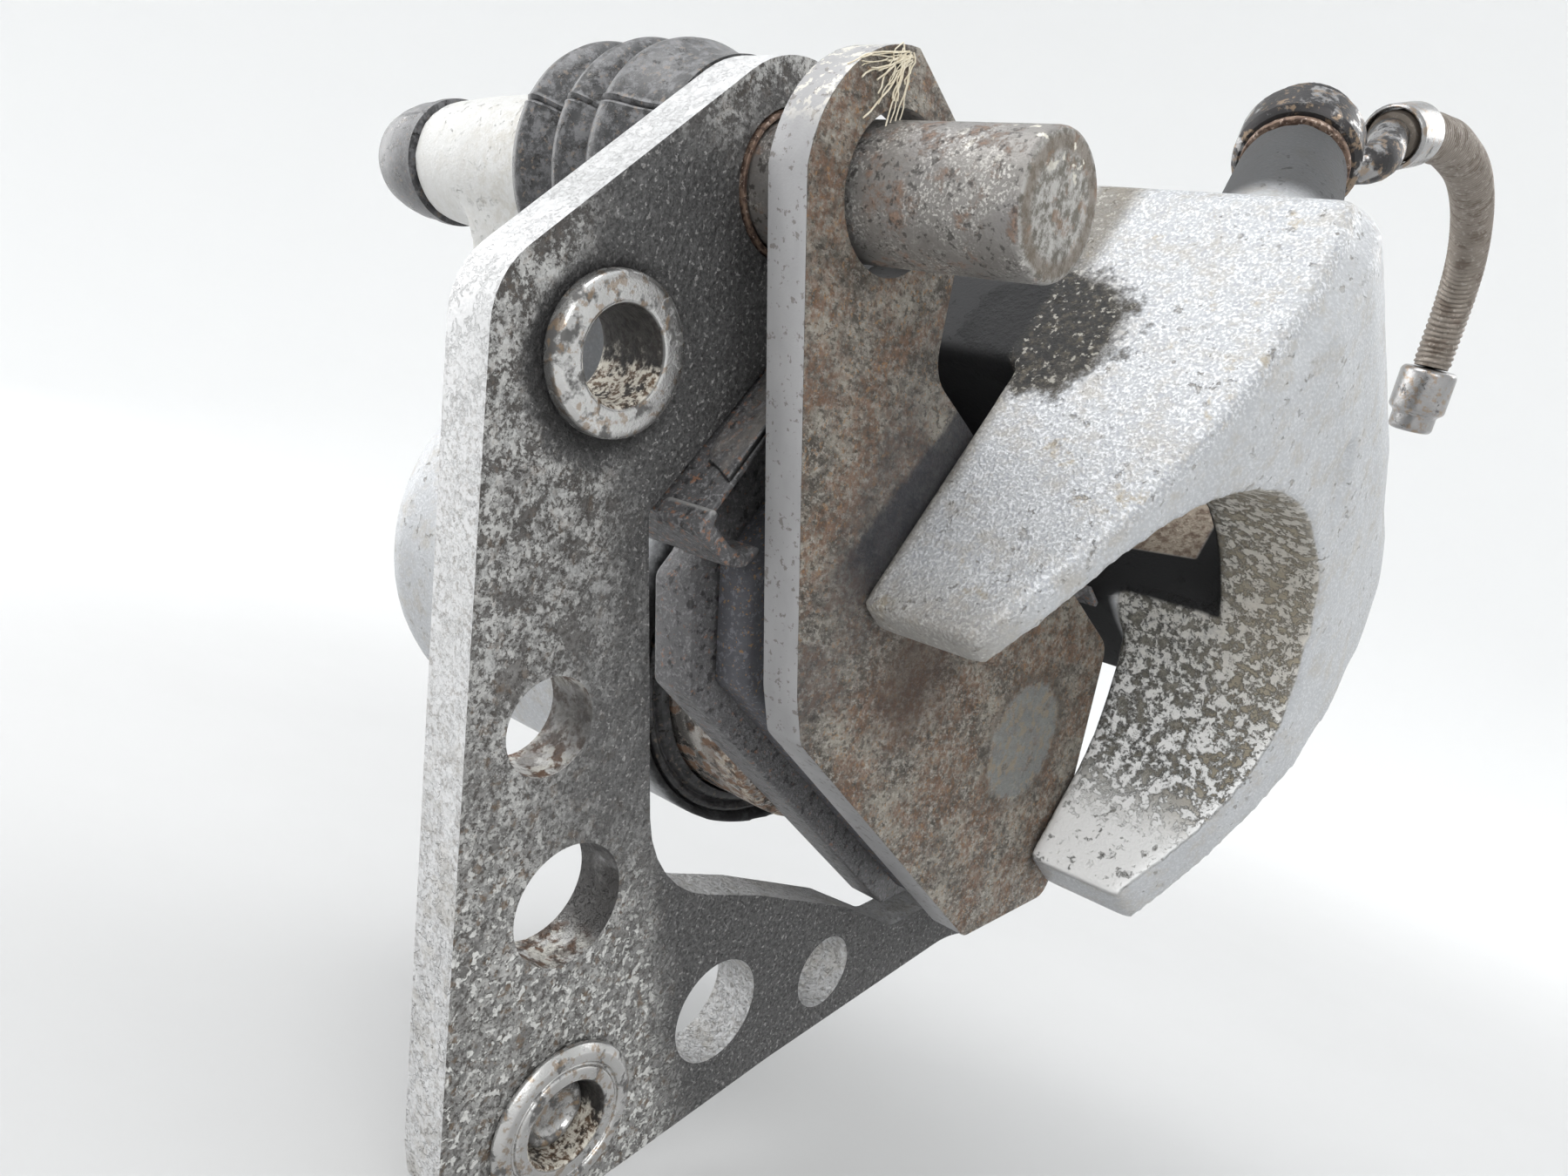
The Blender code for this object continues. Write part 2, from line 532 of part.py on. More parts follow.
def hose_route(spacing=0.016):
    """Even points on a smooth curve through HOSE_POINTS."""
    pts = [Vector(p) for p in HOSE_POINTS]
    pts = [2 * pts[0] - pts[1]] + pts + [2 * pts[-1] - pts[-2]]
    dense = []
    for i in range(1, len(pts) - 2):
        p0, p1, p2, p3 = pts[i - 1:i + 3]
        for k in range(20):
            u = k / 20
            dense.append(0.5 * (2 * p1 + (p2 - p0) * u + (2 * p0 - 5 * p1 + 4 * p2 - p3) * u * u
                                + (3 * p1 - p0 - 3 * p2 + p3) * u ** 3))
    dense.append(pts[-2])
    travelled = [0.0]
    for a, b in zip(dense, dense[1:]):
        travelled.append(travelled[-1] + (b - a).length)
    count = round(travelled[-1] / spacing * 2)
    route = []
    for k in range(count + 1):
        want = travelled[-1] * k / count
        i = min(next((j for j, d in enumerate(travelled) if d >= want - 1e-9)), len(dense) - 1)
        i = max(i, 1)
        part = (want - travelled[i - 1]) / (travelled[i] - travelled[i - 1])
        route.append(tuple(dense[i - 1].lerp(dense[i], min(max(part, 0.0), 1.0))))
    return route


def pad_spring():
    """Bent sheet in the bridge window that presses on the pads' outer edges."""
    sheet = 0.9
    low, high = 28.6, 31.6
    wave = [(-10.2, low), (-6, low), (-3, high), (3, high), (6, low), (10, low),
            (12, high), (16.2, high)]
    under = [(t, n - sheet) for t, n in wave][::-1]
    return prism("pad_spring", yz_list(wave + under), -5.2, 12.5, "black_steel")


# ---------------------------------------------------------------- piston
def piston():
    centre = yz(0, 0)
    return turned("piston", [
        (PISTON_BACK, 0), (PISTON_BACK, PISTON_R - 0.8), (PISTON_BACK + 0.8, PISTON_R),
        (PISTON_FRONT - 1.0, PISTON_R),
        (PISTON_FRONT, PISTON_R - 1.0), (PISTON_FRONT, 16.6), (-54.0, 15.6), (-54.0, 0)],
        (0, *centre), mat="piston_steel", steps=48)


def main():
    for obj in list(bpy.data.objects):
        bpy.data.objects.remove(obj, do_unlink=True)
    material("bracket_steel", (0.34, 0.33, 0.32), 0.6, 0.5)
    material("cast_silver", (0.62, 0.63, 0.65), 0.7, 0.45)
    material("dark_steel", (0.16, 0.15, 0.15), 0.8, 0.45)
    material("bright_steel", (0.50, 0.49, 0.47), 0.9, 0.35)
    material("copper_rust", (0.30, 0.17, 0.10), 0.6, 0.55)
    material("rusty_steel", (0.22, 0.17, 0.13), 0.5, 0.7)
    material("black_steel", (0.035, 0.035, 0.037), 0.3, 0.55)
    material("lining", (0.06, 0.06, 0.065), 0.0, 0.85)
    material("rubber", (0.02, 0.02, 0.022), 0.0, 0.6)
    material("brass_dull", (0.35, 0.29, 0.16), 0.8, 0.45)
    material("spring_guard", (0.30, 0.26, 0.23), 0.5, 0.5)
    material("piston_steel", (0.40, 0.34, 0.28), 0.9, 0.35)
    bracket()
    bracket_fittings()
    inner_pad()
    outer_pad()
    caliper()
    caliper_fittings()
    banjo()
    pad_spring()
    piston()


main()
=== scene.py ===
"""Finished look of the sliding brake caliper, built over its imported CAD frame.

Everything is in the row frame, in metres. Helpers take millimetres.
Pad axes: t runs along the pads, n away from the wheel's axle, both from the
piston's centre; X points outboard.
"""
import json
import math
import random

import bmesh
import bpy
from mathutils import Matrix, Vector

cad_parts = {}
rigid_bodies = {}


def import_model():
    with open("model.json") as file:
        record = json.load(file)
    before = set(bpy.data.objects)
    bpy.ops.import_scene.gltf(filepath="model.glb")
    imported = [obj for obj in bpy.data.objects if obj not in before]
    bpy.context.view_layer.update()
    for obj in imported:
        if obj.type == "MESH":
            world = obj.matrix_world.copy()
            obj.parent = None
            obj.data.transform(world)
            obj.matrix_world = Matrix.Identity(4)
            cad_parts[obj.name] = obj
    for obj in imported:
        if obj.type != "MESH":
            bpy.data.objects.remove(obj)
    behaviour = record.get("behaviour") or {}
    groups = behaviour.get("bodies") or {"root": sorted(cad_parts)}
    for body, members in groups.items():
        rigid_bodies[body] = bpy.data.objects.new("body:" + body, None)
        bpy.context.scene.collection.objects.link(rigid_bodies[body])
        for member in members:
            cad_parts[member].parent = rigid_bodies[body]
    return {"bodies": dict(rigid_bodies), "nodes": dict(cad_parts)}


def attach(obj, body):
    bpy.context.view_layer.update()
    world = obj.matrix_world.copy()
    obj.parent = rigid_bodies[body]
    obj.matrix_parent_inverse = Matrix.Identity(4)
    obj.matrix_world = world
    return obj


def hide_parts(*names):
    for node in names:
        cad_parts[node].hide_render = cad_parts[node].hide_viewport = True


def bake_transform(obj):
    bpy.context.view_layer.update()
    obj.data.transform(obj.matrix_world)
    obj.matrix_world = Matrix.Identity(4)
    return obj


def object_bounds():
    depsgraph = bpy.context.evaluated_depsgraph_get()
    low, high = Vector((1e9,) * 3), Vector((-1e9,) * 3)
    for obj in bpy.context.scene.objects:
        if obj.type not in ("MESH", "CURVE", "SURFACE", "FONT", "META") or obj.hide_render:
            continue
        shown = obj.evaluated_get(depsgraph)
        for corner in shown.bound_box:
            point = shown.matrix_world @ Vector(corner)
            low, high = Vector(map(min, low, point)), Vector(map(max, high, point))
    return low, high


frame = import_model()
cad_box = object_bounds()
NODES = frame["nodes"]
MM = 0.001
PISTON = Vector((0.0, 46.5, -52.0))
TILT = math.radians(-26.0)
T_AXIS = Vector((0.0, math.cos(TILT), math.sin(TILT)))
N_AXIS = Vector((0.0, -math.sin(TILT), math.cos(TILT)))


def pad_point(x, t, n):
    """The place at (t, n) in the pad axes, x outboard, in millimetres."""
    return PISTON + Vector((x, 0, 0)) + T_AXIS * t + N_AXIS * n


GUIDE_PIN = pad_point(0, 59.0, 7.0)
UPPER_BOLT, LOWER_BOLT = (-17.6, -24.0), (8.9, -106.9)  # (y, z) of the mounting holes
COLLAR_SEAT_R, EAR_R = 7.05, 13.0
MID_PLATE = -3.3  # x in the bracket's middle
# Lightening holes: centre (y, z), radius, reach of the wall from the middle of the hole.
HOLES = (((-10.2, -61.3), 5.45, 6.6), ((0.0, -80.8), 7.2, 8.1),
         ((31.7, -96.2), 7.05, 8.0), ((53.4, -92.5), 5.3, 6.4))


# ---- camera
def place_camera():
    """back points from the part to the camera."""
    back = Vector((0.628, -0.777, 0.033)).normalized()
    up = Vector((-0.253, -0.165, 0.953))
    up = (up - back * up.dot(back)).normalized()
    right = up.cross(back)
    data = bpy.data.cameras.new("camera")
    data.lens, data.sensor_width, data.clip_start = 28.9, 36.0, 0.002
    camera = bpy.data.objects.new("camera", data)
    turn = Matrix((right, up, back)).transposed().to_4x4()
    camera.matrix_world = Matrix.Translation((0.09422, -0.09756, -0.03644)) @ turn
    bpy.context.scene.collection.objects.link(camera)
    bpy.context.scene.camera = camera


place_camera()


# ---- materials
class Paint:
    """Builds one procedural material. Lengths are in millimetres."""

    def __init__(self, name, coat=0.0, coat_rough=0.2):
        self.mat = bpy.data.materials.new(name)
        self.mat.use_nodes = True
        self.tree = self.mat.node_tree
        self.tree.nodes.clear()
        self.shader = self.node("BsdfPrincipled")
        out = self.node("OutputMaterial")
        self.tree.links.new(self.shader.outputs[0], out.inputs[0])
        self.shader.inputs["Coat Weight"].default_value = coat
        self.shader.inputs["Coat Roughness"].default_value = coat_rough
        coord = self.node("TexCoord").outputs["Object"]
        self.place = self.vector("SCALE", coord, scale=1000.0)
        self.x, self.y, self.z = self.split(self.place)
        from_piston = self.vector("SUBTRACT", self.place, PISTON)
        self.t = self.vector("DOT_PRODUCT", from_piston, T_AXIS)
        self.n = self.vector("DOT_PRODUCT", from_piston, N_AXIS)
        facing = self.node("TexCoord").outputs["Normal"]
        self.nx, _, self.nz = self.split(facing)
        self.normal = None

    def put(self, socket, value):
        """Feeds a socket with another socket, a number or a colour."""
        if isinstance(value, bpy.types.NodeSocket):
            self.tree.links.new(value, socket)
        elif socket.type == "RGBA" and not isinstance(value, (int, float)):
            socket.default_value = (*value[:3], 1.0)
        elif socket.type == "RGBA":
            socket.default_value = (value, value, value, 1.0)
        elif socket.type == "VECTOR" and isinstance(value, (int, float)):
            socket.default_value = (value, value, value)
        else:
            socket.default_value = value

    def node(self, kind):
        return self.tree.nodes.new("ShaderNode" + kind)

    def vector(self, operation, a, b=None, scale=None):
        node = self.node("VectorMath")
        node.operation = operation
        self.put(node.inputs[0], a)
        if b is not None:
            self.put(node.inputs[1], b)
        if scale is not None:
            self.put(node.inputs["Scale"], scale)
        single = operation in ("DOT_PRODUCT", "LENGTH", "DISTANCE")
        return node.outputs["Value" if single else "Vector"]

    def split(self, vector):
        node = self.node("SeparateXYZ")
        self.put(node.inputs[0], vector)
        return node.outputs[:3]

    def math(self, operation, a, b=0.0, clamp=False):
        node = self.node("Math")
        node.operation = operation
        node.use_clamp = clamp
        self.put(node.inputs[0], a)
        self.put(node.inputs[1], b)
        return node.outputs[0]

    def add(self, a, b):
        return self.math("ADD", a, b)

    def times(self, *values):
        out = values[0]
        for value in values[1:]:
            out = self.math("MULTIPLY", out, value)
        return out

    def less(self, a, b):
        """a without b, kept from 0 to 1."""
        return self.math("SUBTRACT", a, b, clamp=True)

    def either(self, *masks):
        out = masks[0]
        for mask in masks[1:]:
            out = self.math("MAXIMUM", out, mask)
        return out

    def invert(self, mask):
        return self.math("SUBTRACT", 1.0, mask)

    def step(self, value, low, high, to_low=0.0, to_high=1.0):
        """A soft step; low may be the larger one, to step down."""
        node = self.node("MapRange")
        node.interpolation_type = "SMOOTHSTEP"
        for socket, v in zip(node.inputs[:5], (value, low, high, to_low, to_high)):
            self.put(socket, v)
        return node.outputs[0]

    def stretch(self, along_x=1.0, along_y=1.0, along_z=1.0, turn=(0.0, 0.0, 0.0)):
        """Coordinates in which a texture grows longer along an axis."""
        node = self.node("Mapping")
        node.vector_type = "POINT"
        self.put(node.inputs["Vector"], self.place)
        node.inputs["Rotation"].default_value = [math.radians(a) for a in turn]
        node.inputs["Scale"].default_value = (1 / along_x, 1 / along_y, 1 / along_z)
        return node.outputs[0]

    def noise(self, size, detail=3.0, rough=0.55, at=None):
        node = self.node("TexNoise")
        self.put(node.inputs["Vector"], self.place if at is None else at)
        for key, value in (("Scale", 1 / size), ("Detail", detail), ("Roughness", rough)):
            node.inputs[key].default_value = value
        return node.outputs["Fac"]

    def ragged(self, size, detail, rough, height):
        """Noise round zero, to fray the border of a mask."""
        return self.times(self.math("SUBTRACT", self.noise(size, detail, rough), 0.5), height)

    def cells(self, size):
        node = self.node("TexVoronoi")
        self.put(node.inputs["Vector"], self.place)
        node.inputs["Scale"].default_value = 1 / size
        return node.outputs["Distance"]

    def spots(self, size, amount=0.5, soft=0.05, detail=3.0, rough=0.6, at=None):
        """Noise cut to patches: a larger amount covers more."""
        level = 0.68 - 0.36 * amount
        return self.step(self.noise(size, detail, rough, at), level - soft, level + soft)

    def near(self, centre, inner, outer, wobble=0.0, size=4.0):
        """1 within inner of centre, fading to 0 at outer, with a wobbly border."""
        reach = self.vector("DISTANCE", self.place, centre)
        if wobble:
            reach = self.add(reach, self.ragged(size, 4.0, 0.65, 2 * wobble))
        return self.step(reach, outer, inner)

    def mixer(self, kind, sockets, out, *values):
        node = self.node("Mix")
        node.data_type = kind
        for socket, value in zip(sockets, values):
            self.put(node.inputs[socket], value)
        return node.outputs[out]

    def mix(self, factor, a, b):
        """Colour a, turning into b where factor is 1."""
        return self.mixer("RGBA", (0, 6, 7), 2, factor, a, b)

    def over(self, base, colour, *masks):
        """colour over base, where every mask is 1."""
        return self.mix(self.times(*masks), base, colour)

    def lerp(self, factor, a, b):
        """Number a, turning into b where factor is 1."""
        return self.mixer("FLOAT", (0, 2, 3), 0, factor, a, b)

    def bump(self, height, depth, strength=1.0):
        """Raises the surface by up to depth millimetres where height is 1."""
        node = self.node("Bump")
        node.inputs["Strength"].default_value = strength
        node.inputs["Distance"].default_value = depth * MM
        self.put(node.inputs["Height"], height)
        if self.normal is not None:
            self.put(node.inputs["Normal"], self.normal)
        self.normal = node.outputs[0]

    def finish(self, colour, rough, metal=0.0):
        """Connects what was painted and returns the material."""
        self.put(self.shader.inputs["Base Color"], colour)
        self.put(self.shader.inputs["Roughness"], rough)
        self.put(self.shader.inputs["Metallic"], metal)
        if self.normal is not None:
            self.put(self.shader.inputs["Normal"], self.normal)
        return self.mat


def bracket_paint():
    """Zinc-plated plate: bright worn edge, specked face, oily brake dust by the pads, painted
    shade round the upper collar and the shaft.
    """
    p = Paint("bracket_worn_zinc")
    face = p.step(p.math("ABSOLUTE", p.nx), 0.55, 0.8)
    from_piston = p.vector("DISTANCE", p.place, PISTON)
    ragged = p.ragged(5, 8, 0.72, 16)
    slope = p.add(p.add(p.y, p.times(p.z, 0.55)), p.add(ragged, 31.0))
    dust = p.times(p.step(slope, -5, 4), p.step(p.add(p.z, p.times(ragged, 0.7)), 6, -5))
    rim = p.times(p.step(p.add(from_piston, ragged), 63, 47), p.step(p.z, -84, -66, 0.22, 0.85))
    # painted shade: a dark ring round the upper collar, where its shadow falls on the plate
    ring = p.near((0, -16.8, -25.0), 9.4, 11.2, 2.4, 2.0)
    # painted shade: a dark ring round the shaft, where its shadow falls on the plate
    shaft_shade_ring = p.times(p.near((0, 0, 0), 8.6, 12, 2.5, 2), 0.7)
    low_edge = p.times(p.step(p.n, -50, -40), p.step(p.t, 12, 22),
                       p.step(p.add(p.n, ragged), -24, -30), 0.7,
                       p.step(p.add(p.z, ragged), -92, -76))
    # dark joins the brake dust with the painted shade rings round the upper collar and the shaft
    dark = p.either(dust, rim, ring, shaft_shade_ring, low_edge)
    low = p.step(p.z, -40, -90)

    grey = p.mix(p.noise(7, 7, 0.7), (0.13, 0.128, 0.122), (0.34, 0.335, 0.325))
    light = p.spots(3.4, 0.46, 0.025, 9, 0.78)
    grey = p.over(grey, (0.46, 0.455, 0.44), light, 0.8)
    flecks = p.spots(0.9, 0.40, 0.05, 4, 0.7)
    grey = p.over(grey, (0.60, 0.595, 0.58), flecks, 0.5)
    pits = p.spots(0.75, 0.36, 0.04, 4, 0.75)
    grey = p.over(grey, (0.06, 0.052, 0.046), pits, 0.85)
    flaked = p.times(p.spots(4.6, 0.42, 0.015, 9, 0.8), p.step(p.z, -80, -30, 0.5))
    grey = p.over(grey, (0.06, 0.053, 0.048), flaked, 0.9)
    bare = p.times(p.spots(5.5, 0.34, 0.015, 9, 0.8), p.step(p.z, -90, -40, 0.3))
    grey = p.over(grey, (0.50, 0.50, 0.49), bare, 0.8)
    rust = p.times(p.spots(1.9, 0.26, 0.04, 6, 0.7), p.add(0.3, p.times(low, 0.6)))
    grey = p.over(grey, (0.17, 0.115, 0.07), rust, 0.85)
    crust = p.times(p.spots(1.25, 0.33, 0.03, 3), p.step(p.z, -58, -90))
    crust = p.either(crust, p.times(p.spots(0.9, 0.25, 0.03, 2), p.step(p.z, -68, -80),
                                    p.step(p.y, -5, 10)))
    grey = p.over(grey, (0.72, 0.715, 0.69), crust)
    grain = p.noise(0.5, 4, 0.75)
    # the brake dust's tone, also laid over the painted shade rings
    soot_and_shade = p.mix(p.step(grain, 0.34, 0.66), 0.045, (0.135, 0.133, 0.132))
    soot_and_shade = p.over(soot_and_shade, (0.42, 0.41, 0.40), p.spots(0.6, 0.16, 0.02, 2), 0.7)
    flat = p.mix(p.times(dark, 0.96), grey, soot_and_shade)
    # painted shadow: a near-black ring right round the upper collar
    flat = p.over(flat, (0.016, 0.015, 0.015), p.near((0, -17.4, -24.4), 8.5, 10.6, 1.8, 1.5),
                  0.85)

    edge = p.mix(p.noise(5, 6, 0.6), 0.60, (0.76, 0.76, 0.765))
    specks = p.times(p.spots(0.7, 0.36, 0.05, 6, 0.75), p.step(p.z, -22, -40, 0.15))
    edge = p.over(edge, (0.27, 0.245, 0.22), specks, 0.55)
    edge = p.over(edge, (0.44, 0.41, 0.36), p.spots(4, 0.34, 0.06, 6), low, 0.4)
    hole = p.either(*(p.near((MID_PLATE, *centre), reach, reach + 0.6)
                      for centre, _, reach in HOLES))
    hole = p.times(hole, p.invert(face))
    wall = p.mix(p.spots(1.5, 0.5, 0.04, 6), (0.62, 0.60, 0.55), (0.15, 0.085, 0.05))
    wall = p.over(wall, (0.70, 0.69, 0.67), p.spots(2.4, 0.45, 0.06, 5))
    wall = p.over(wall, (0.06, 0.042, 0.032), p.spots(4.5, 0.42, 0.04, 7, 0.7),
                  p.step(p.z, -100, -70, 1.0, 0.6))
    wall = p.over(wall, (0.03, 0.028, 0.026), p.near((-3, *HOLES[-1][0]), 6.5, 8.5),
                  p.spots(2.5, 0.72, 0.06, 5))
    wall = p.over(wall, (0.05, 0.047, 0.045), p.step(from_piston, 56, 51))
    upper_wall = p.step(slope, -6, 2)
    edge = p.over(edge, wall, hole, p.invert(upper_wall))
    colour = p.mix(face, edge, flat)
    rough = p.lerp(dark, p.lerp(p.noise(2, 4), 0.34, 0.55), 0.6)
    metal = p.times(p.invert(dark), p.lerp(face, 0.15, 0.35))
    p.bump(p.times(p.either(pits, flaked), -1.0), 0.07)
    p.bump(crust, 0.35)
    p.bump(p.times(p.noise(0.9, 5, 0.6), dark), 0.75)
    p.bump(p.noise(0.4, 3, 0.6), 0.06)
    return p.finish(colour, rough, metal)


def bright_paint(name, dirt=0.4, centre=None, wall_r=0.0, tone=0.5):
    """Machined steel with stain patches; the bore near centre is rusty, with painted shade over
    its upper half.
    """
    p = Paint(name)
    base = p.mix(p.noise(3, 4), (tone * 0.8, tone * 0.79, tone * 0.77),
                 (tone * 1.35, tone * 1.34, tone * 1.32))
    stain = p.spots(2.6, dirt, 0.05, 5)
    colour = p.mix(p.times(stain, 0.85), base, (0.045, 0.042, 0.04))
    colour = p.over(colour, (0.28, 0.19, 0.11), p.spots(1.2, 0.25, 0.04), 0.6)
    rough = p.lerp(stain, 0.24, 0.6)
    metal = p.lerp(stain, 0.9, 0.3)
    if centre:
        off = p.vector("SUBTRACT", p.place, (0, *centre))
        reach = p.vector("LENGTH", p.vector("MULTIPLY", off, (0, 1, 1)))
        bore = p.step(reach, wall_r + 0.5, wall_r + 0.25)
        inside = p.mix(p.spots(0.8, 0.5, 0.06, 6, 0.7), (0.66, 0.62, 0.54), (0.13, 0.08, 0.045))
        inside = p.over(inside, (0.03, 0.024, 0.02), p.spots(1.6, 0.36, 0.05, 7, 0.75))
        # painted shade: the upper half of the bore is made near-black, with a ragged border
        shade_wobble = p.ragged(1.6, 5, 0.7, 9)
        upper = p.step(p.add(p.z, shade_wobble), centre[1] - 1.2, centre[1] + 1.0)
        inside = p.over(inside, (0.016, 0.014, 0.013), upper, 0.96)
        colour = p.over(colour, inside, bore)
        rough = p.lerp(bore, rough, 0.75)
        metal = p.times(metal, p.invert(bore))
        p.bump(p.times(bore, p.noise(0.8, 4, 0.7)), 0.5)
    p.bump(stain, 0.05)
    p.bump(p.noise(0.3, 3), 0.03)
    return p.finish(colour, rough, metal)


def shaft_paint():
    """Ground steel pin, worn and spotted with rust, with a mottled end."""
    p = Paint("shaft_aged_steel")
    end = p.step(p.nx, 0.7, 0.9)
    base = p.mix(p.noise(4, 7, 0.7), (0.15, 0.14, 0.13), (0.40, 0.385, 0.365))
    base = p.over(base, (0.19, 0.18, 0.18), p.step(p.noise(8, 4), 0.45, 0.7), 0.5)
    sparkle = p.times(p.spots(0.32, 0.34, 0.06, 3), p.spots(5.5, 0.46, 0.10, 5))
    base = p.over(base, (0.72, 0.70, 0.66), sparkle, 0.7)
    rust = p.spots(4.2, 0.30, 0.06, 8, 0.75)
    base = p.over(base, (0.23, 0.125, 0.07), rust, 0.7)
    base = p.over(base, (0.05, 0.045, 0.042), p.spots(0.8, 0.24, 0.04, 4), 0.7)
    tip = p.mix(p.spots(1.2, 0.5, 0.10, 7, 0.75), (0.12, 0.11, 0.09), (0.40, 0.39, 0.37))
    reach = p.vector("LENGTH", p.vector("MULTIPLY", p.place, (0, 1, 1)))
    tip = p.over(tip, (0.13, 0.10, 0.07), p.step(reach, 4.4, 5.4), p.step(reach, 6.6, 6.0), 0.7)
    tip = p.over(tip, (0.20, 0.12, 0.07), p.spots(2.0, 0.22, 0.05, 6), 0.6)
    colour = p.mix(end, base, tip)
    white = p.times(p.spots(1.7, 0.17, 0.03, 4), p.step(p.x, 22, 29), p.step(p.z, 0, 5))
    colour = p.over(colour, (0.72, 0.69, 0.60), white)
    rough = p.lerp(p.either(rust, end), p.lerp(p.noise(2, 4), 0.34, 0.5), 0.6)
    metal = p.lerp(p.either(rust, p.times(end, 0.8)), 0.55, 0.1)
    p.bump(p.times(rust, p.noise(0.6, 4, 0.7)), 0.15)
    p.bump(p.noise(0.35, 4, 0.7), 0.08)
    return p.finish(colour, rough, metal)


def rubber_paint(name, dust=0.35, tone=0.02):
    """Black moulded rubber with dust on what faces up and outward, and oil spots."""
    p = Paint(name, coat=0.25, coat_rough=0.3)
    base = p.mix(p.noise(3, 5), (tone * 0.5, tone * 0.5, tone * 0.52),
                 (tone * 1.6, tone * 1.6, tone * 1.7))
    powder = p.times(p.step(p.noise(1.6, 9, 0.82), 0.46, 0.58), p.step(p.nz, -0.9, 0.9, 0.40))
    colour = p.mix(p.times(powder, dust), base, (0.42, 0.42, 0.435))
    oil = p.spots(1.8, 0.25, 0.04, 7, 0.7)
    colour = p.over(colour, (0.012, 0.010, 0.008), oil, 0.8)
    colour = p.over(colour, (0.20, 0.15, 0.11), p.spots(0.7, 0.14, 0.03), 0.6)
    rough = p.lerp(oil, p.lerp(powder, 0.38, 0.65), 0.2)
    p.bump(p.noise(0.5, 4, 0.6), 0.05)
    p.bump(oil, 0.06)
    return p.finish(colour, rough)


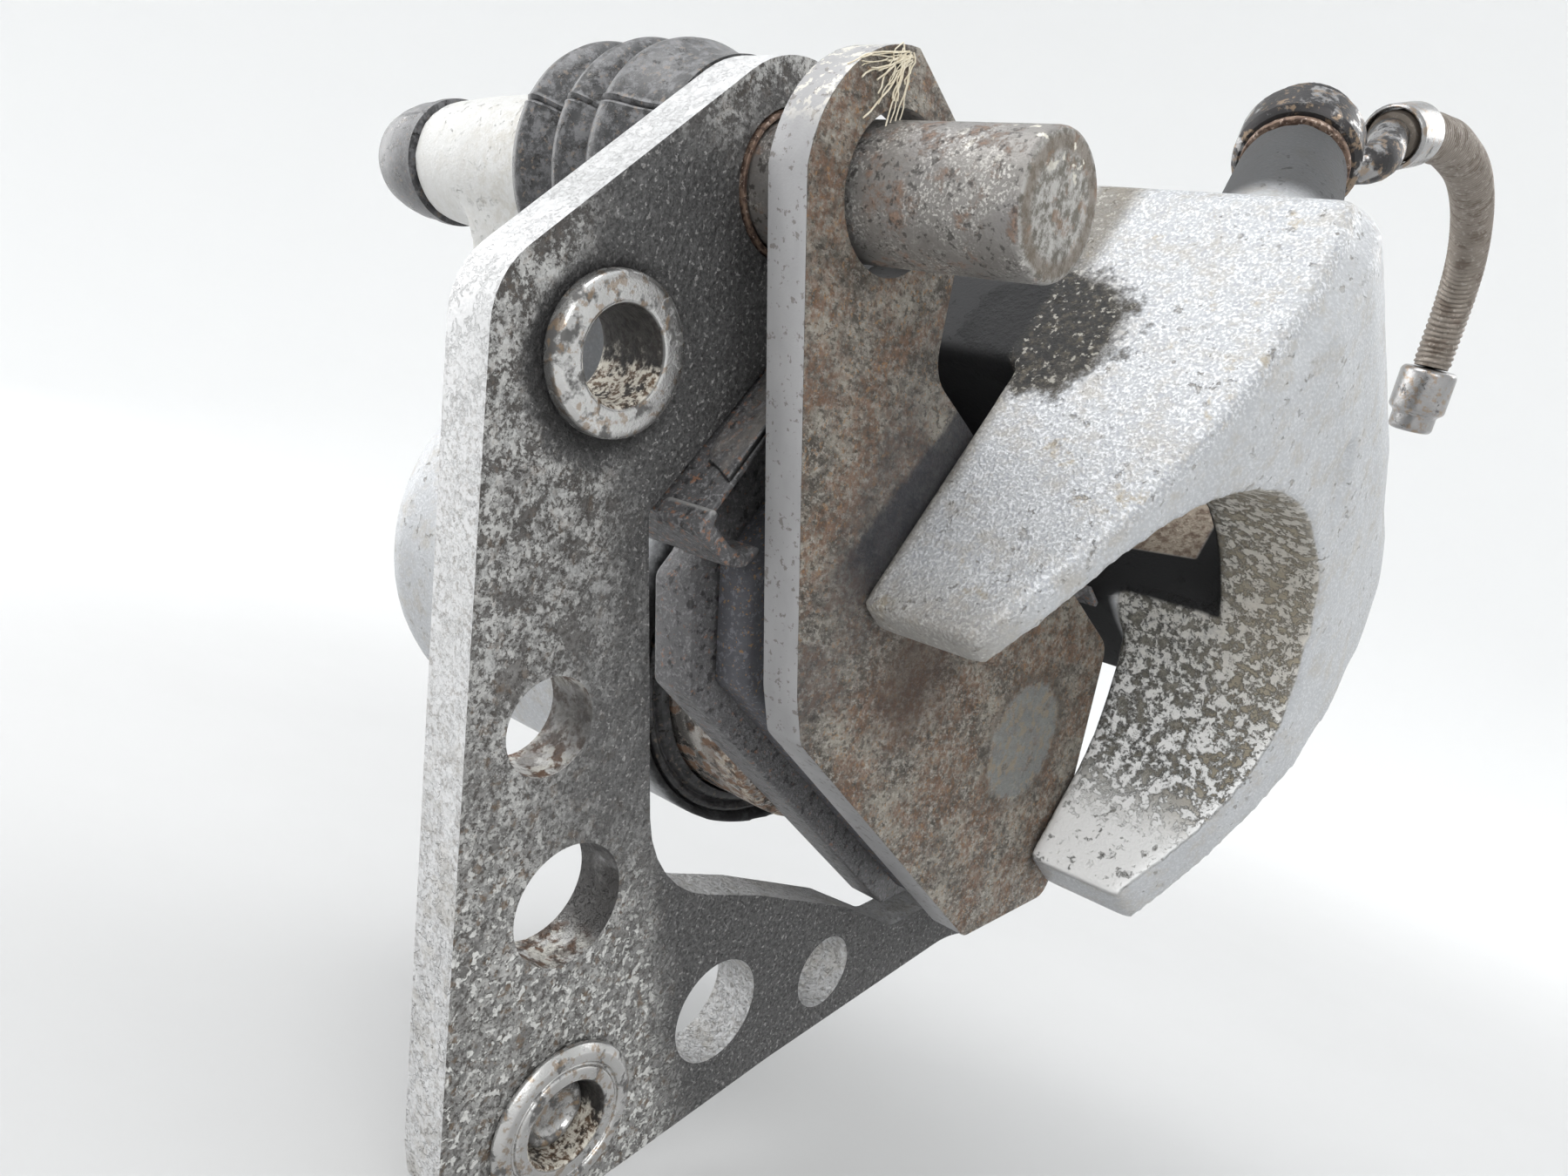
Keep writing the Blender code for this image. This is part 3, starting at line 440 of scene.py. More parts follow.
def casting_paint():
    """Silver sand casting: glittering skin, grime by the openings, white corrosion, spread denser
    near the tip partly as painted light.
    """
    p = Paint("silver_sand_casting")
    end = p.times(p.step(p.t, -31.0, -33.6), p.step(p.x, 12.0, 14.0))
    silver = p.mix(p.noise(9, 6, 0.65), (0.40, 0.412, 0.428), (0.56, 0.57, 0.58))
    ripple = p.noise(0.36, 3, 0.55, at=p.stretch(1, 1.5, 1, (-35, 0, 0)))
    strong = p.lerp(end, 0.16, 0.62)
    silver = p.over(silver, (0.86, 0.87, 0.90), p.step(ripple, 0.50, 0.62), strong)
    silver = p.over(silver, (0.33, 0.34, 0.40), p.step(ripple, 0.46, 0.36), strong, 0.8)
    silver = p.over(silver, (0.40, 0.36, 0.30), p.spots(4.0, 0.30, 0.10, 8, 0.75), 0.5)
    pits = p.times(p.spots(1.3, 0.13, 0.03, 5), p.spots(9, 0.45, 0.1, 3))
    silver = p.over(silver, (0.24, 0.215, 0.18), pits, 0.6)
    silver = p.over(silver, (0.42, 0.365, 0.28), p.spots(5.5, 0.16, 0.05, 8, 0.75), end, 0.8)

    ragged = p.ragged(4, 7, 0.75, 14)
    reach = p.vector("DISTANCE", p.place, pad_point(15, -34.4, 38))
    soil = p.times(p.step(p.add(reach, p.times(ragged, 1.3)), 11.5, 8.5), p.step(p.t, -27, -31))
    edge_line = p.times(p.step(p.add(p.x, p.times(ragged, 0.3)), 17.6, 14.6),
                        p.step(p.t, -29, -33), p.step(p.x, 8, 11.5))
    tip_soil = p.times(p.step(p.add(p.n, p.times(ragged, 0.8)), 5, -5), p.step(p.t, 0, -20),
                       p.step(p.x, 12, 14), 0.6)
    below = p.step(p.n, 53, 44)
    inside = p.times(p.step(p.n, 36, 33.6), p.step(p.t, 39.6, 38.8), p.step(p.t, -36, -35))
    near_end = p.step(p.t, -31.5, -33.0)
    black = p.times(p.step(p.x, 13.9, 12.5), p.step(p.add(p.x, p.times(ragged, 0.4)), -25, -20),
                    p.either(inside, p.times(near_end, below)))
    inside_window = p.times(p.step(p.t, -11.9, -11.4), p.step(p.t, 17.9, 17.4),
                            p.step(p.x, -6.8, -6.2), p.step(p.x, 29.4, 28.9),
                            p.step(p.n, 67.5, 65.5))
    neck_axis = Vector((-0.26, 0.61, 0.75)).normalized()
    from_neck = p.vector("SUBTRACT", p.place, (23.5, 67.3, 32.4))
    neck_along = p.vector("DOT_PRODUCT", from_neck, neck_axis)
    neck_out = p.vector("LENGTH", p.vector("CROSS_PRODUCT", from_neck, neck_axis))
    neck = p.times(p.step(neck_along, -24, -17), p.step(neck_out, 10.2, 9.0))
    black = p.either(black, inside_window, p.times(neck, 0.92))

    off = p.vector("SUBTRACT", p.place, pad_point(0, 1.5, 9.7))
    along, across = p.vector("DOT_PRODUCT", off, T_AXIS), p.vector("DOT_PRODUCT", off, N_AXIS)
    above = p.math("MAXIMUM", across, 0.0)
    radius = p.math("SQRT", p.add(p.times(along, along), p.times(above, above)))
    wall = p.times(p.step(radius, 31.6, 30.7), p.step(p.x, 13.5, 14.2),
                   p.step(p.add(p.x, p.times(ragged, 0.5)), 48, 40), p.step(p.nx, 0.8, 0.45))
    grime = p.mix(p.spots(0.8, 0.5, 0.10, 6, 0.7), (0.12, 0.112, 0.09), (0.46, 0.43, 0.36))
    grime = p.over(grime, (0.46, 0.395, 0.29), p.step(p.add(p.x, ragged), 24, 36), 0.65)
    crust = p.times(p.spots(1.6, 0.56, 0.05, 7, 0.75), p.step(p.n, 38, 16, 0.35))
    # near the tip: real white crust, spread denser here as painted light where the lamps leave
    # this wall dim
    crust = p.either(crust, p.times(p.spots(2.6, 0.85, 0.07, 7, 0.7), p.step(p.n, 17, 5)))
    grime = p.over(grime, (0.93, 0.93, 0.92), crust)
    colour = p.mix(p.times(wall, 0.95), silver, grime)
    dirt = p.either(soil, p.times(edge_line, 0.75), tip_soil)
    mud = p.mix(p.step(p.noise(1.0, 7, 0.75), 0.48, 0.70), (0.010, 0.008, 0.006),
                (0.13, 0.11, 0.075))
    mud = p.over(mud, (0.36, 0.31, 0.23), p.step(p.add(reach, ragged), 7.0, 12.5), 0.55)
    mud = p.over(mud, (0.60, 0.57, 0.50), p.spots(0.8, 0.20, 0.04, 5), 0.8)
    colour = p.over(colour, mud, dirt, 0.95)
    boss = p.times(p.step(p.x, -29, -34), p.near((-48, 0, 0), 16, 22, 3))
    stain = p.times(p.spots(2.0, 0.42, 0.10, 8, 0.75), p.step(p.x, -52, -38, 0.35))
    pale = p.mix(p.times(stain, 0.4), (0.60, 0.597, 0.58), (0.36, 0.315, 0.235))
    colour = p.over(colour, pale, boss, 0.9)
    patch = p.times(p.step(p.t, 16.0, 16.8), p.step(p.t, 18.2, 17.6), p.step(p.x, 22.3, 21.7),
                    p.step(p.add(p.n, p.times(p.x, -0.10)), 41.0, 41.5))
    black = p.less(black, patch)
    colour = p.over(colour, (0.018, 0.018, 0.019), black)
    beige = p.mix(p.spots(1.2, 0.4, 0.1, 5), (0.50, 0.42, 0.33), (0.24, 0.17, 0.12))
    colour = p.over(colour, beige, patch)

    covered = p.either(p.times(wall, 0.95), dirt, black)
    metal = p.times(p.invert(covered), p.lerp(boss, 0.30, 0.05))
    rough = p.lerp(covered, p.lerp(p.step(ripple, 0.5, 0.62), 0.52, 0.34), 0.75)
    p.bump(p.times(ripple, p.lerp(end, 0.3, 1.0)), 0.22, 0.9)
    p.bump(p.noise(0.5, 3, 0.6), 0.06)
    p.bump(p.times(wall, crust), 0.6)
    p.bump(p.times(dirt, p.noise(0.9, 5, 0.7)), 0.8)
    p.bump(p.times(pits, -1.0), 0.2)
    return p.finish(colour, rough, metal)


def outer_plate_paint():
    """Pad backing plate: sheared grey edge, rusty oily face with a bare round mark."""
    p = Paint("backing_plate_rust")
    face = p.step(p.nx, 0.6, 0.85)
    wide = p.stretch(1, 1.6, 1)
    grain = p.noise(0.6, 5, 0.75, wide)
    base = p.mix(p.step(p.noise(5, 9, 0.78, wide), 0.38, 0.62), (0.080, 0.068, 0.054),
                 (0.42, 0.385, 0.325))
    base = p.over(base, (0.54, 0.505, 0.45), p.step(grain, 0.46, 0.62),
                  p.step(p.n, 20, -12, 0.55, 0.95))
    base = p.over(base, (0.05, 0.04, 0.03), p.spots(0.7, 0.33, 0.04, 5, 0.7, wide), 0.75)
    rust = p.times(p.step(p.noise(6, 6, 0.7), 0.42, 0.58),
                   p.step(p.noise(0.8, 4, 0.7), 0.40, 0.58))
    base = p.over(base, (0.235, 0.13, 0.08), rust, 0.75)
    base = p.over(base, (0.42, 0.24, 0.11), p.spots(0.6, 0.13, 0.03, 2), 0.6)
    base = p.over(base, (0.055, 0.048, 0.042), p.spots(2.2, 0.30, 0.10, 7, 0.75), 0.6)
    cool = p.times(p.step(p.n, 32, 14), p.step(p.add(p.t, p.times(p.n, 0.28)), -46, -40),
                   p.step(p.t, -20, -32), p.spots(6, 0.75, 0.2, 6))
    streak = p.ragged(4, 6, 0.7, 9)
    line = p.add(p.add(p.t, p.times(p.n, -0.08)), p.times(streak, 0.4))
    stripe = p.times(p.step(line, -40.4, -39.0), p.step(line, -32, -34), p.step(p.n, -7, 2),
                     p.step(p.n, 33, 27))
    base = p.over(base, (0.075, 0.082, 0.09), cool, 0.45)
    base = p.over(base, p.mix(grain, (0.012, 0.013, 0.017), (0.075, 0.08, 0.095)), stripe, 0.85)
    base = p.over(base, (0.085, 0.055, 0.042), p.near((14, 30, -47), 3, 12, 6), 0.7)
    mark = p.vector("DISTANCE", p.place, (14.1, 62.4, -52.6))
    ragged = p.ragged(1.5, 5, 0.7, 3)
    ring = p.step(p.add(mark, p.times(ragged, 1.5)), 9.2, 7.8)
    base = p.over(base, (0.27, 0.285, 0.28), ring, 0.8, p.spots(2.4, 0.85, 0.10, 5))
    base = p.over(base, (0.36, 0.30, 0.22), ring, p.spots(1.6, 0.34, 0.05, 6), 0.8)
    halo = p.times(p.step(mark, 8.4, 9.2), p.step(mark, 11.2, 9.6))
    base = p.over(base, (0.10, 0.085, 0.07), halo, 0.45)
    edge = p.mix(p.noise(3, 5, at=p.stretch(1, 1, 4)), (0.30, 0.298, 0.302), (0.43, 0.425, 0.43))
    edge = p.over(edge, (0.12, 0.10, 0.08), p.spots(0.9, 0.17, 0.03), 0.6)
    scrape = p.times(p.spots(1.4, 0.36, 0.03, 6, 0.7), p.step(p.z, 0, 8), p.step(p.y, 2, -6))
    edge = p.over(edge, (0.74, 0.71, 0.63), scrape)
    back = p.step(p.nx, -0.6, -0.85)
    edge = p.over(edge, (0.05, 0.048, 0.046), back)
    colour = p.mix(face, edge, base)
    colour = p.over(colour, (0.66, 0.63, 0.56), scrape, p.step(p.nx, 0.95, 0.8))
    rough = p.lerp(face, 0.5, p.lerp(rust, 0.48, 0.72))
    metal = p.lerp(face, 0.2, p.lerp(rust, 0.25, 0.05))
    p.bump(p.times(face, grain), 0.8)
    p.bump(p.times(face, p.noise(2.5, 5, 0.7)), 0.3)
    p.bump(p.noise(0.3, 2), 0.03)
    return p.finish(colour, rough, metal)


def black_steel_paint(name, rust=0.2, tone=0.02, raised=None):
    """Black-finished sheet under a skin of brake dust, with small orange specks.
    raised is the t of a pressed rib's top: worn there, with a painted shade line in the crease
    round it."""
    p = Paint(name)
    base = p.mix(p.noise(3.5, 7, 0.7), (tone, tone, tone * 1.03),
                 (tone * 2.6, tone * 2.55, tone * 2.6))
    base = p.over(base, (0.33, 0.325, 0.33), p.spots(0.5, 0.30, 0.05, 4), 0.5)
    base = p.over(base, (0.018, 0.017, 0.017), p.spots(1.3, 0.26, 0.05, 6), 0.75)
    speck = p.spots(0.8, rust, 0.03, 4)
    base = p.over(base, (0.27, 0.13, 0.07), speck, 0.7)
    if raised:
        # painted shade: a near-black line in the crease beside the rib
        crease_shade = p.times(p.step(p.t, raised + 0.08, raised + 0.22),
                         p.step(p.t, raised + 0.64, raised + 0.54))
        outside = p.step(p.n, -4.5, -3.8)
        base = p.over(base, 0.004, crease_shade, outside, 0.95)
        top = p.times(p.step(p.t, raised + 0.06, raised), outside)
        base = p.over(base, (0.23, 0.21, 0.19), top,
                      p.step(p.noise(2.5, 5, at=p.stretch(1, 3, 3)), 0.35, 0.7))
        # painted highlight: a light line along the top edge of the clip's lip, where light
        # catches it
        lip = p.times(p.step(p.t, -52.6, -52.9), p.step(p.n, -8.0, -7.4), p.step(p.n, -6.0, -6.6))
        base = p.over(base, (0.36, 0.36, 0.35), lip, 0.8)
    p.bump(p.noise(0.5, 4, 0.7), 0.14)
    p.bump(p.noise(2.0, 4, 0.6), 0.15)
    return p.finish(base, p.lerp(p.noise(2, 4), 0.34, 0.58), p.lerp(speck, 0.2, 0.0))


def lining_paint():
    """Friction material: dark compound with fine fibres and grit."""
    p = Paint("friction_compound")
    base = p.mix(p.noise(2.5, 6, 0.7), (0.07, 0.07, 0.078), (0.17, 0.172, 0.19))
    base = p.over(base, (0.30, 0.30, 0.33), p.spots(0.6, 0.26, 0.04, 3), 0.5)
    base = p.over(base, (0.36, 0.22, 0.11), p.spots(0.5, 0.05, 0.02, 1), 0.8)
    p.bump(p.noise(0.4, 5, 0.8), 0.25)
    p.bump(p.cells(1.2), 0.15, 0.5)
    return p.finish(base, p.lerp(p.noise(1, 3), 0.62, 0.88), 0.1)


def piston_paint():
    """Plated piston: bright behind, rusty and chalky on its rim."""
    p = Paint("piston_plated")
    bright = p.mix(p.noise(3, 4), (0.30, 0.28, 0.26), (0.52, 0.50, 0.47))
    rim = p.step(p.x, -16, -10)
    rust = p.either(p.spots(2.4, 0.40, 0.05, 5), p.times(p.spots(1.2, 0.62, 0.08, 5), rim))
    bright = p.over(bright, (0.19, 0.095, 0.045), rust, 0.85)
    bright = p.over(bright, (0.62, 0.56, 0.47), rim, p.spots(1.5, 0.34, 0.05), 0.8)
    bright = p.over(bright, (0.03, 0.026, 0.024), p.spots(2.0, 0.28, 0.04), 0.7)
    p.bump(p.times(rust, p.noise(0.6, 4, 0.7)), 0.2)
    return p.finish(bright, p.lerp(rust, 0.25, 0.7), p.lerp(rust, 0.85, 0.1))


def copper_paint(name):
    """Brown copper with a few bright scratches."""
    p = Paint(name)
    base = p.mix(p.noise(2.5, 5, 0.65), (0.13, 0.085, 0.06), (0.36, 0.25, 0.19))
    base = p.over(base, (0.075, 0.045, 0.035), p.spots(1.0, 0.45, 0.05, 4), 0.8)
    base = p.over(base, (0.62, 0.50, 0.42), p.spots(0.7, 0.22, 0.03, 3), 0.8)
    p.bump(p.noise(0.5, 4, 0.7), 0.15)
    return p.finish(base, p.lerp(p.noise(1.5, 4), 0.35, 0.65), 0.5)


def brass_paint():
    """Yellow passivated steel, gone dull."""
    p = Paint("dull_yellow_passivate")
    base = p.mix(p.noise(2.0, 5, 0.65), (0.30, 0.24, 0.13), (0.50, 0.43, 0.27))
    base = p.over(base, (0.09, 0.065, 0.04), p.spots(1.2, 0.36, 0.05, 4), 0.8)
    p.bump(p.noise(0.4, 4, 0.7), 0.08)
    return p.finish(base, p.lerp(p.noise(1.5, 4), 0.3, 0.6), 0.8)


def guard_paint():
    """Coiled steel guard over the hose, dulled brown, with darker and lighter spots."""
    p = Paint("hose_guard_coil")
    base = p.mix(p.noise(7, 5, 0.6), (0.17, 0.145, 0.12), (0.30, 0.265, 0.23))
    base = p.over(base, (0.11, 0.08, 0.06), p.spots(3.0, 0.35, 0.06, 5), 0.6)
    base = p.over(base, (0.45, 0.42, 0.38), p.spots(0.9, 0.22, 0.03, 3), 0.4)
    p.bump(p.noise(0.4, 3, 0.6), 0.06)
    return p.finish(base, p.lerp(p.noise(2, 4), 0.36, 0.62), 0.55)


def union_paint(name, dark=0.5):
    """Plated steel union with dark grimy patches and brown spots."""
    p = Paint(name)
    base = p.mix(p.noise(3, 4), (0.22, 0.22, 0.225), (0.45, 0.44, 0.43))
    soil = p.times(p.step(p.noise(4, 5, 0.65), 0.62 - 0.3 * dark, 0.72 - 0.3 * dark), 0.95)
    base = p.over(base, (0.035, 0.033, 0.034), soil)
    base = p.over(base, (0.30, 0.22, 0.15), p.spots(1.4, 0.30, 0.04, 4), 0.7)
    p.bump(p.noise(0.5, 4, 0.6), 0.06)
    return p.finish(base, p.lerp(soil, 0.20, 0.45), 0.85)


def fibre_paint():
    """Straw-coloured fibre."""
    p = Paint("frayed_fibre")
    base = p.mix(p.noise(0.8, 3), (0.60, 0.50, 0.33), (0.86, 0.82, 0.70))
    p.bump(p.noise(0.2, 2), 0.02)
    return p.finish(base, 0.7)


def floor_paint():
    """Pale floor, painted a little darker under the part and lighter far off, to even out the
    lamps' light on it.
    """
    p = Paint("pale_floor")
    base = p.mix(p.noise(60, 3), (0.57, 0.57, 0.567), 0.60)
    # painted light: the floor is made lighter far off, where the lamps light it less, and darker
    # under the part
    far = p.step(p.vector("DISTANCE", p.place, (50, 30, -120)), 250, 900)
    base = p.over(base, (0.90, 0.90, 0.895), far)
    p.bump(p.noise(1.5, 3), 0.02)
    return p.finish(base, 0.75)


PAINTS = {
    "caliper_bracket": bracket_paint(),
    "caliper_body": casting_paint(),
    "shaft": shaft_paint(),
    "upper_collar": bright_paint("upper_collar_steel", 0.33, UPPER_BOLT, 4.7, 0.52),
    "lower_collar": bright_paint("lower_collar_steel", 0.26, LOWER_BOLT, 5.15, 0.5),
    "bolt": bright_paint("mount_bolt_steel", 0.5, tone=0.4),
    "boot": rubber_paint("bellows_rubber", 0.40, 0.022),
    "cap": rubber_paint("cap_rubber", 0.45, 0.055),
    "seal": rubber_paint("seal_rubber", 0.2, 0.014),
    "outer_plate": outer_plate_paint(),
    "clip": black_steel_paint("pad_clip_steel", 0.20, 0.055, -52.85),
    "inner_plate": black_steel_paint("inner_plate_steel", 0.08, 0.075),
    "spring": black_steel_paint("pad_spring_steel", 0.25, 0.10),
    "lining": lining_paint(),
    "piston": piston_paint(),
    "copper": copper_paint("collar_copper_rust"),
    "washer": copper_paint("washer_copper"),
    "brass": brass_paint(),
    "guard": guard_paint(),
    "union": union_paint("hose_union_steel", 0.75),
    "ferrule": union_paint("ferrule_steel", 0.2),
    "fibre": fibre_paint(),
    "floor": floor_paint(),
}


# ---- shapes
def link(name, data, paint):
    """An object of its own for a mesh or a curve, painted."""
    obj = bpy.data.objects.new(name, data)
    bpy.context.scene.collection.objects.link(obj)
    data.materials.append(PAINTS[paint])
    return obj


def from_bmesh(name, bm, paint, smooth=True):
    """The finished bmesh as an object; its edges over 38 degrees stay sharp."""
    bmesh.ops.recalc_face_normals(bm, faces=bm.faces)
    mesh = bpy.data.meshes.new(name)
    bm.to_mesh(mesh)
    bm.free()
    if smooth:
        mesh.shade_smooth()
        mesh.set_sharp_from_angle(angle=math.radians(38))
    return link(name, mesh, paint)


def soften(points, radius, steps=4, closed=True):
    """Fillets every corner of a (along, radius) profile."""
    out = []
    count = len(points)
    for i, point in enumerate(points):
        p = Vector(point)
        if not closed and i in (0, count - 1):
            out.append(tuple(p))
            continue
        before, after = Vector(points[i - 1]) - p, Vector(points[(i + 1) % count]) - p
        if before.length < 1e-6 or after.length < 1e-6 or before.angle(after) > 3.0:
            out.append(tuple(p))
            continue
        reach = min(radius, 0.45 * before.length, 0.45 * after.length)
        a, b = p + before.normalized() * reach, p + after.normalized() * reach
        for k in range(steps + 1):
            u = k / steps
            out.append(tuple(a.lerp(p, u).lerp(p.lerp(b, u), u)))
    return out


def lathe(name, profile, paint, centre=(0, 0), steps=96, shape=None):
    """Spins an (x, radius) profile about the line along X through centre, a (y, z).
    shape(radius, degrees) may return another radius."""
    bm = bmesh.new()
    origin = Vector((0, *centre))
    rings = []
    for k in range(steps):
        angle = 2 * math.pi * k / steps
        ring = []
        for x, r in profile:
            if shape:
                r = shape(r, math.degrees(angle))
            v = Vector((x, r * math.cos(angle), r * math.sin(angle)))
            ring.append(bm.verts.new((origin + v) * MM))
        rings.append(ring)
    count = len(profile)
    closed = profile[0][1] > 1e-6 or profile[-1][1] > 1e-6
    for k in range(steps):
        a, b = rings[k], rings[(k + 1) % steps]
        for i in range(count if closed else count - 1):
            j = (i + 1) % count
            bm.faces.new((a[i], a[j], b[j], b[i]))
    bmesh.ops.remove_doubles(bm, verts=bm.verts, dist=1e-7)
    bmesh.ops.dissolve_degenerate(bm, edges=bm.edges, dist=1e-8)
    return from_bmesh(name, bm, paint)


def clean_copy(node):
    """The CAD node's mesh with its flat faces whole again."""
    bm = bmesh.new()
    bm.from_mesh(NODES[node].data)
    bmesh.ops.remove_doubles(bm, verts=bm.verts, dist=1e-6)
    bmesh.ops.dissolve_limit(bm, angle_limit=math.radians(0.4), verts=bm.verts, edges=bm.edges)
    return bm


def settle(obj):
    """Applies the modifiers."""
    graph = bpy.context.evaluated_depsgraph_get()
    mesh = bpy.data.meshes.new_from_object(obj.evaluated_get(graph))
    old = obj.data
    obj.modifiers.clear()
    obj.data = mesh
    bpy.data.meshes.remove(old)
    return obj


def rounder(bm, centre, radius):
    """Twice as many sides on the arcs that run at radius from centre, a (y, z)."""
    def off(vert):
        return math.hypot(vert.co.y / MM - centre[0], vert.co.z / MM - centre[1])
    ring = [e for e in bm.edges if all(abs(off(v) - radius) < 0.05 for v in e.verts)
            and abs(e.verts[0].co.x - e.verts[1].co.x) < 1e-5]
    made = bmesh.ops.subdivide_edges(bm, edges=ring, cuts=1)["geom_inner"]
    for vert in made:
        if isinstance(vert, bmesh.types.BMVert) and off(vert) > 1e-3:
            scale = radius / off(vert)
            vert.co.y = (centre[0] + (vert.co.y / MM - centre[0]) * scale) * MM
            vert.co.z = (centre[1] + (vert.co.z / MM - centre[1]) * scale) * MM


def eased(obj, width, segments, angle=32, miter="MITER_ARC"):
    """Rounds the edges that turn by more than angle degrees."""
    obj.data.shade_smooth()
    mod = obj.modifiers.new("ease", "BEVEL")
    mod.width, mod.segments = width * MM, segments
    mod.limit_method, mod.angle_limit = "ANGLE", math.radians(angle)
    mod.miter_outer = miter
    mod.harden_normals = True
    return settle(obj)


def dressed(node, paint, width, segments=3, arcs=()):
    """The node's own shape with its edges eased and its arcs rounder."""
    bm = clean_copy(node)
    for centre, radius in arcs:
        rounder(bm, centre, radius)
    return eased(from_bmesh(node + "_finish", bm, paint, smooth=False), width, segments)


def extruded(name, outline, step, paint):
    """A flat piece: the outline's points, in millimetres, and the same moved by step."""
    bm = bmesh.new()
    face = bm.faces.new([bm.verts.new(p * MM) for p in outline])
    far = bmesh.ops.extrude_face_region(bm, geom=[face])["geom"]
    far = [item for item in far if isinstance(item, bmesh.types.BMVert)]
    bmesh.ops.translate(bm, verts=far, vec=step * MM)
    return from_bmesh(name, bm, paint, smooth=False)


def stand_in(obj, node):
    """obj is shown in place of the node, on the node's body."""
    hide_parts(node)
    for body, empty in frame["bodies"].items():
        if NODES[node].parent == empty:
            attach(obj, body)


def turned(node, name, profile, paint, centre=(0, 0), steps=96):
    """A turned piece in place of the node."""
    stand_in(lathe(name, profile, paint, centre, steps), node)


def tube(name, path, radius, paint, steps):
    """A tube with closed ends; radius(travelled, turn) in mm may vary all over it."""
    bm = bmesh.new()
    rings, across, travelled = [], None, 0.0
    for i, place in enumerate(path):
        along = (path[min(i + 1, len(path) - 1)] - path[max(i - 1, 0)]).normalized()
        across = along.orthogonal() if across is None else across
        across = (across - along * across.dot(along)).normalized()
        if i:
            travelled += (place - path[i - 1]).length
        ring = []
        for k in range(steps):
            turn = 2 * math.pi * k / steps
            out = Matrix.Rotation(turn, 3, along) @ across
            ring.append(bm.verts.new((place + out * radius(travelled, turn)) * MM))
        rings.append(ring)
    for a, b in zip(rings, rings[1:]):
        for k in range(steps):
            bm.faces.new((a[k], a[(k + 1) % steps], b[(k + 1) % steps], b[k]))
    bm.faces.new(rings[0])
    bm.faces.new(rings[-1])
    return from_bmesh(name, bm, paint)


def smooth_line(pts, per_span):
    """Dense points on the smooth curve through pts."""
    pts = [2 * pts[0] - pts[1]] + pts + [2 * pts[-1] - pts[-2]]
    dense = []
    for i in range(1, len(pts) - 2):
        p0, p1, p2, p3 = pts[i - 1:i + 3]
        for k in range(per_span):
            u = k / per_span
            dense.append(0.5 * (2 * p1 + (p2 - p0) * u + (2 * p0 - 5 * p1 + 4 * p2 - p3) * u * u
                                + (3 * p1 - p0 - 3 * p2 + p3) * u ** 3))
    dense.append(pts[-2])
    return dense


# ---- hose
HOSE_POINTS = [(0.0290, 0.0834, 0.0446), (0.0291, 0.0900, 0.0481), (0.0289, 0.0975, 0.0513),
               (0.0284, 0.1050, 0.0541), (0.0278, 0.1128, 0.0567), (0.0262, 0.1300, 0.0604),
               (0.0238, 0.1465, 0.0622), (0.0215, 0.1605, 0.0615), (0.0197, 0.1705, 0.0585),
               (0.0182, 0.1770, 0.0540), (0.0171, 0.1808, 0.0488), (0.0164, 0.1828, 0.0440),
               (0.0161, 0.1836, 0.0400)]
GUARD_CORE_R, GUARD_WIRE, GUARD_PITCH, BARE_END = 3.35, 0.35, 1.25, 0.6
RING_STEP = 0.14


def hose():
    """Rubber hose inside a close-coiled steel guard."""
    line = smooth_line([Vector(p) / MM for p in HOSE_POINTS], 40)
    length = sum((b - a).length for a, b in zip(line, line[1:]))

    def coil(travelled, turn):
        end = min(travelled, length - travelled)
        wave = 0.5 + 0.5 * math.cos(2 * math.pi * travelled / GUARD_PITCH - turn)
        return GUARD_CORE_R + (GUARD_WIRE * wave ** 0.6 if end > BARE_END else 0.0)

    dense = []
    want, travelled = 0.0, 0.0
    for a, b in zip(line, line[1:]):
        span = (b - a).length
        while want <= travelled + span and want < length:
            dense.append(a.lerp(b, (want - travelled) / span))
            want += RING_STEP
        travelled += span
    dense.append(line[-1])
    obj = tube("hose_in_guard", dense, coil, "guard", 28)
    stand_in(obj, "brake_hose")
    ends = [dressed("hose_ferrule", "ferrule", 0.3), dressed("hose_end_fitting", "ferrule", 0.4)]
    stand_in(ends[0], "hose_ferrule")
    stand_in(ends[1], "hose_end_fitting")


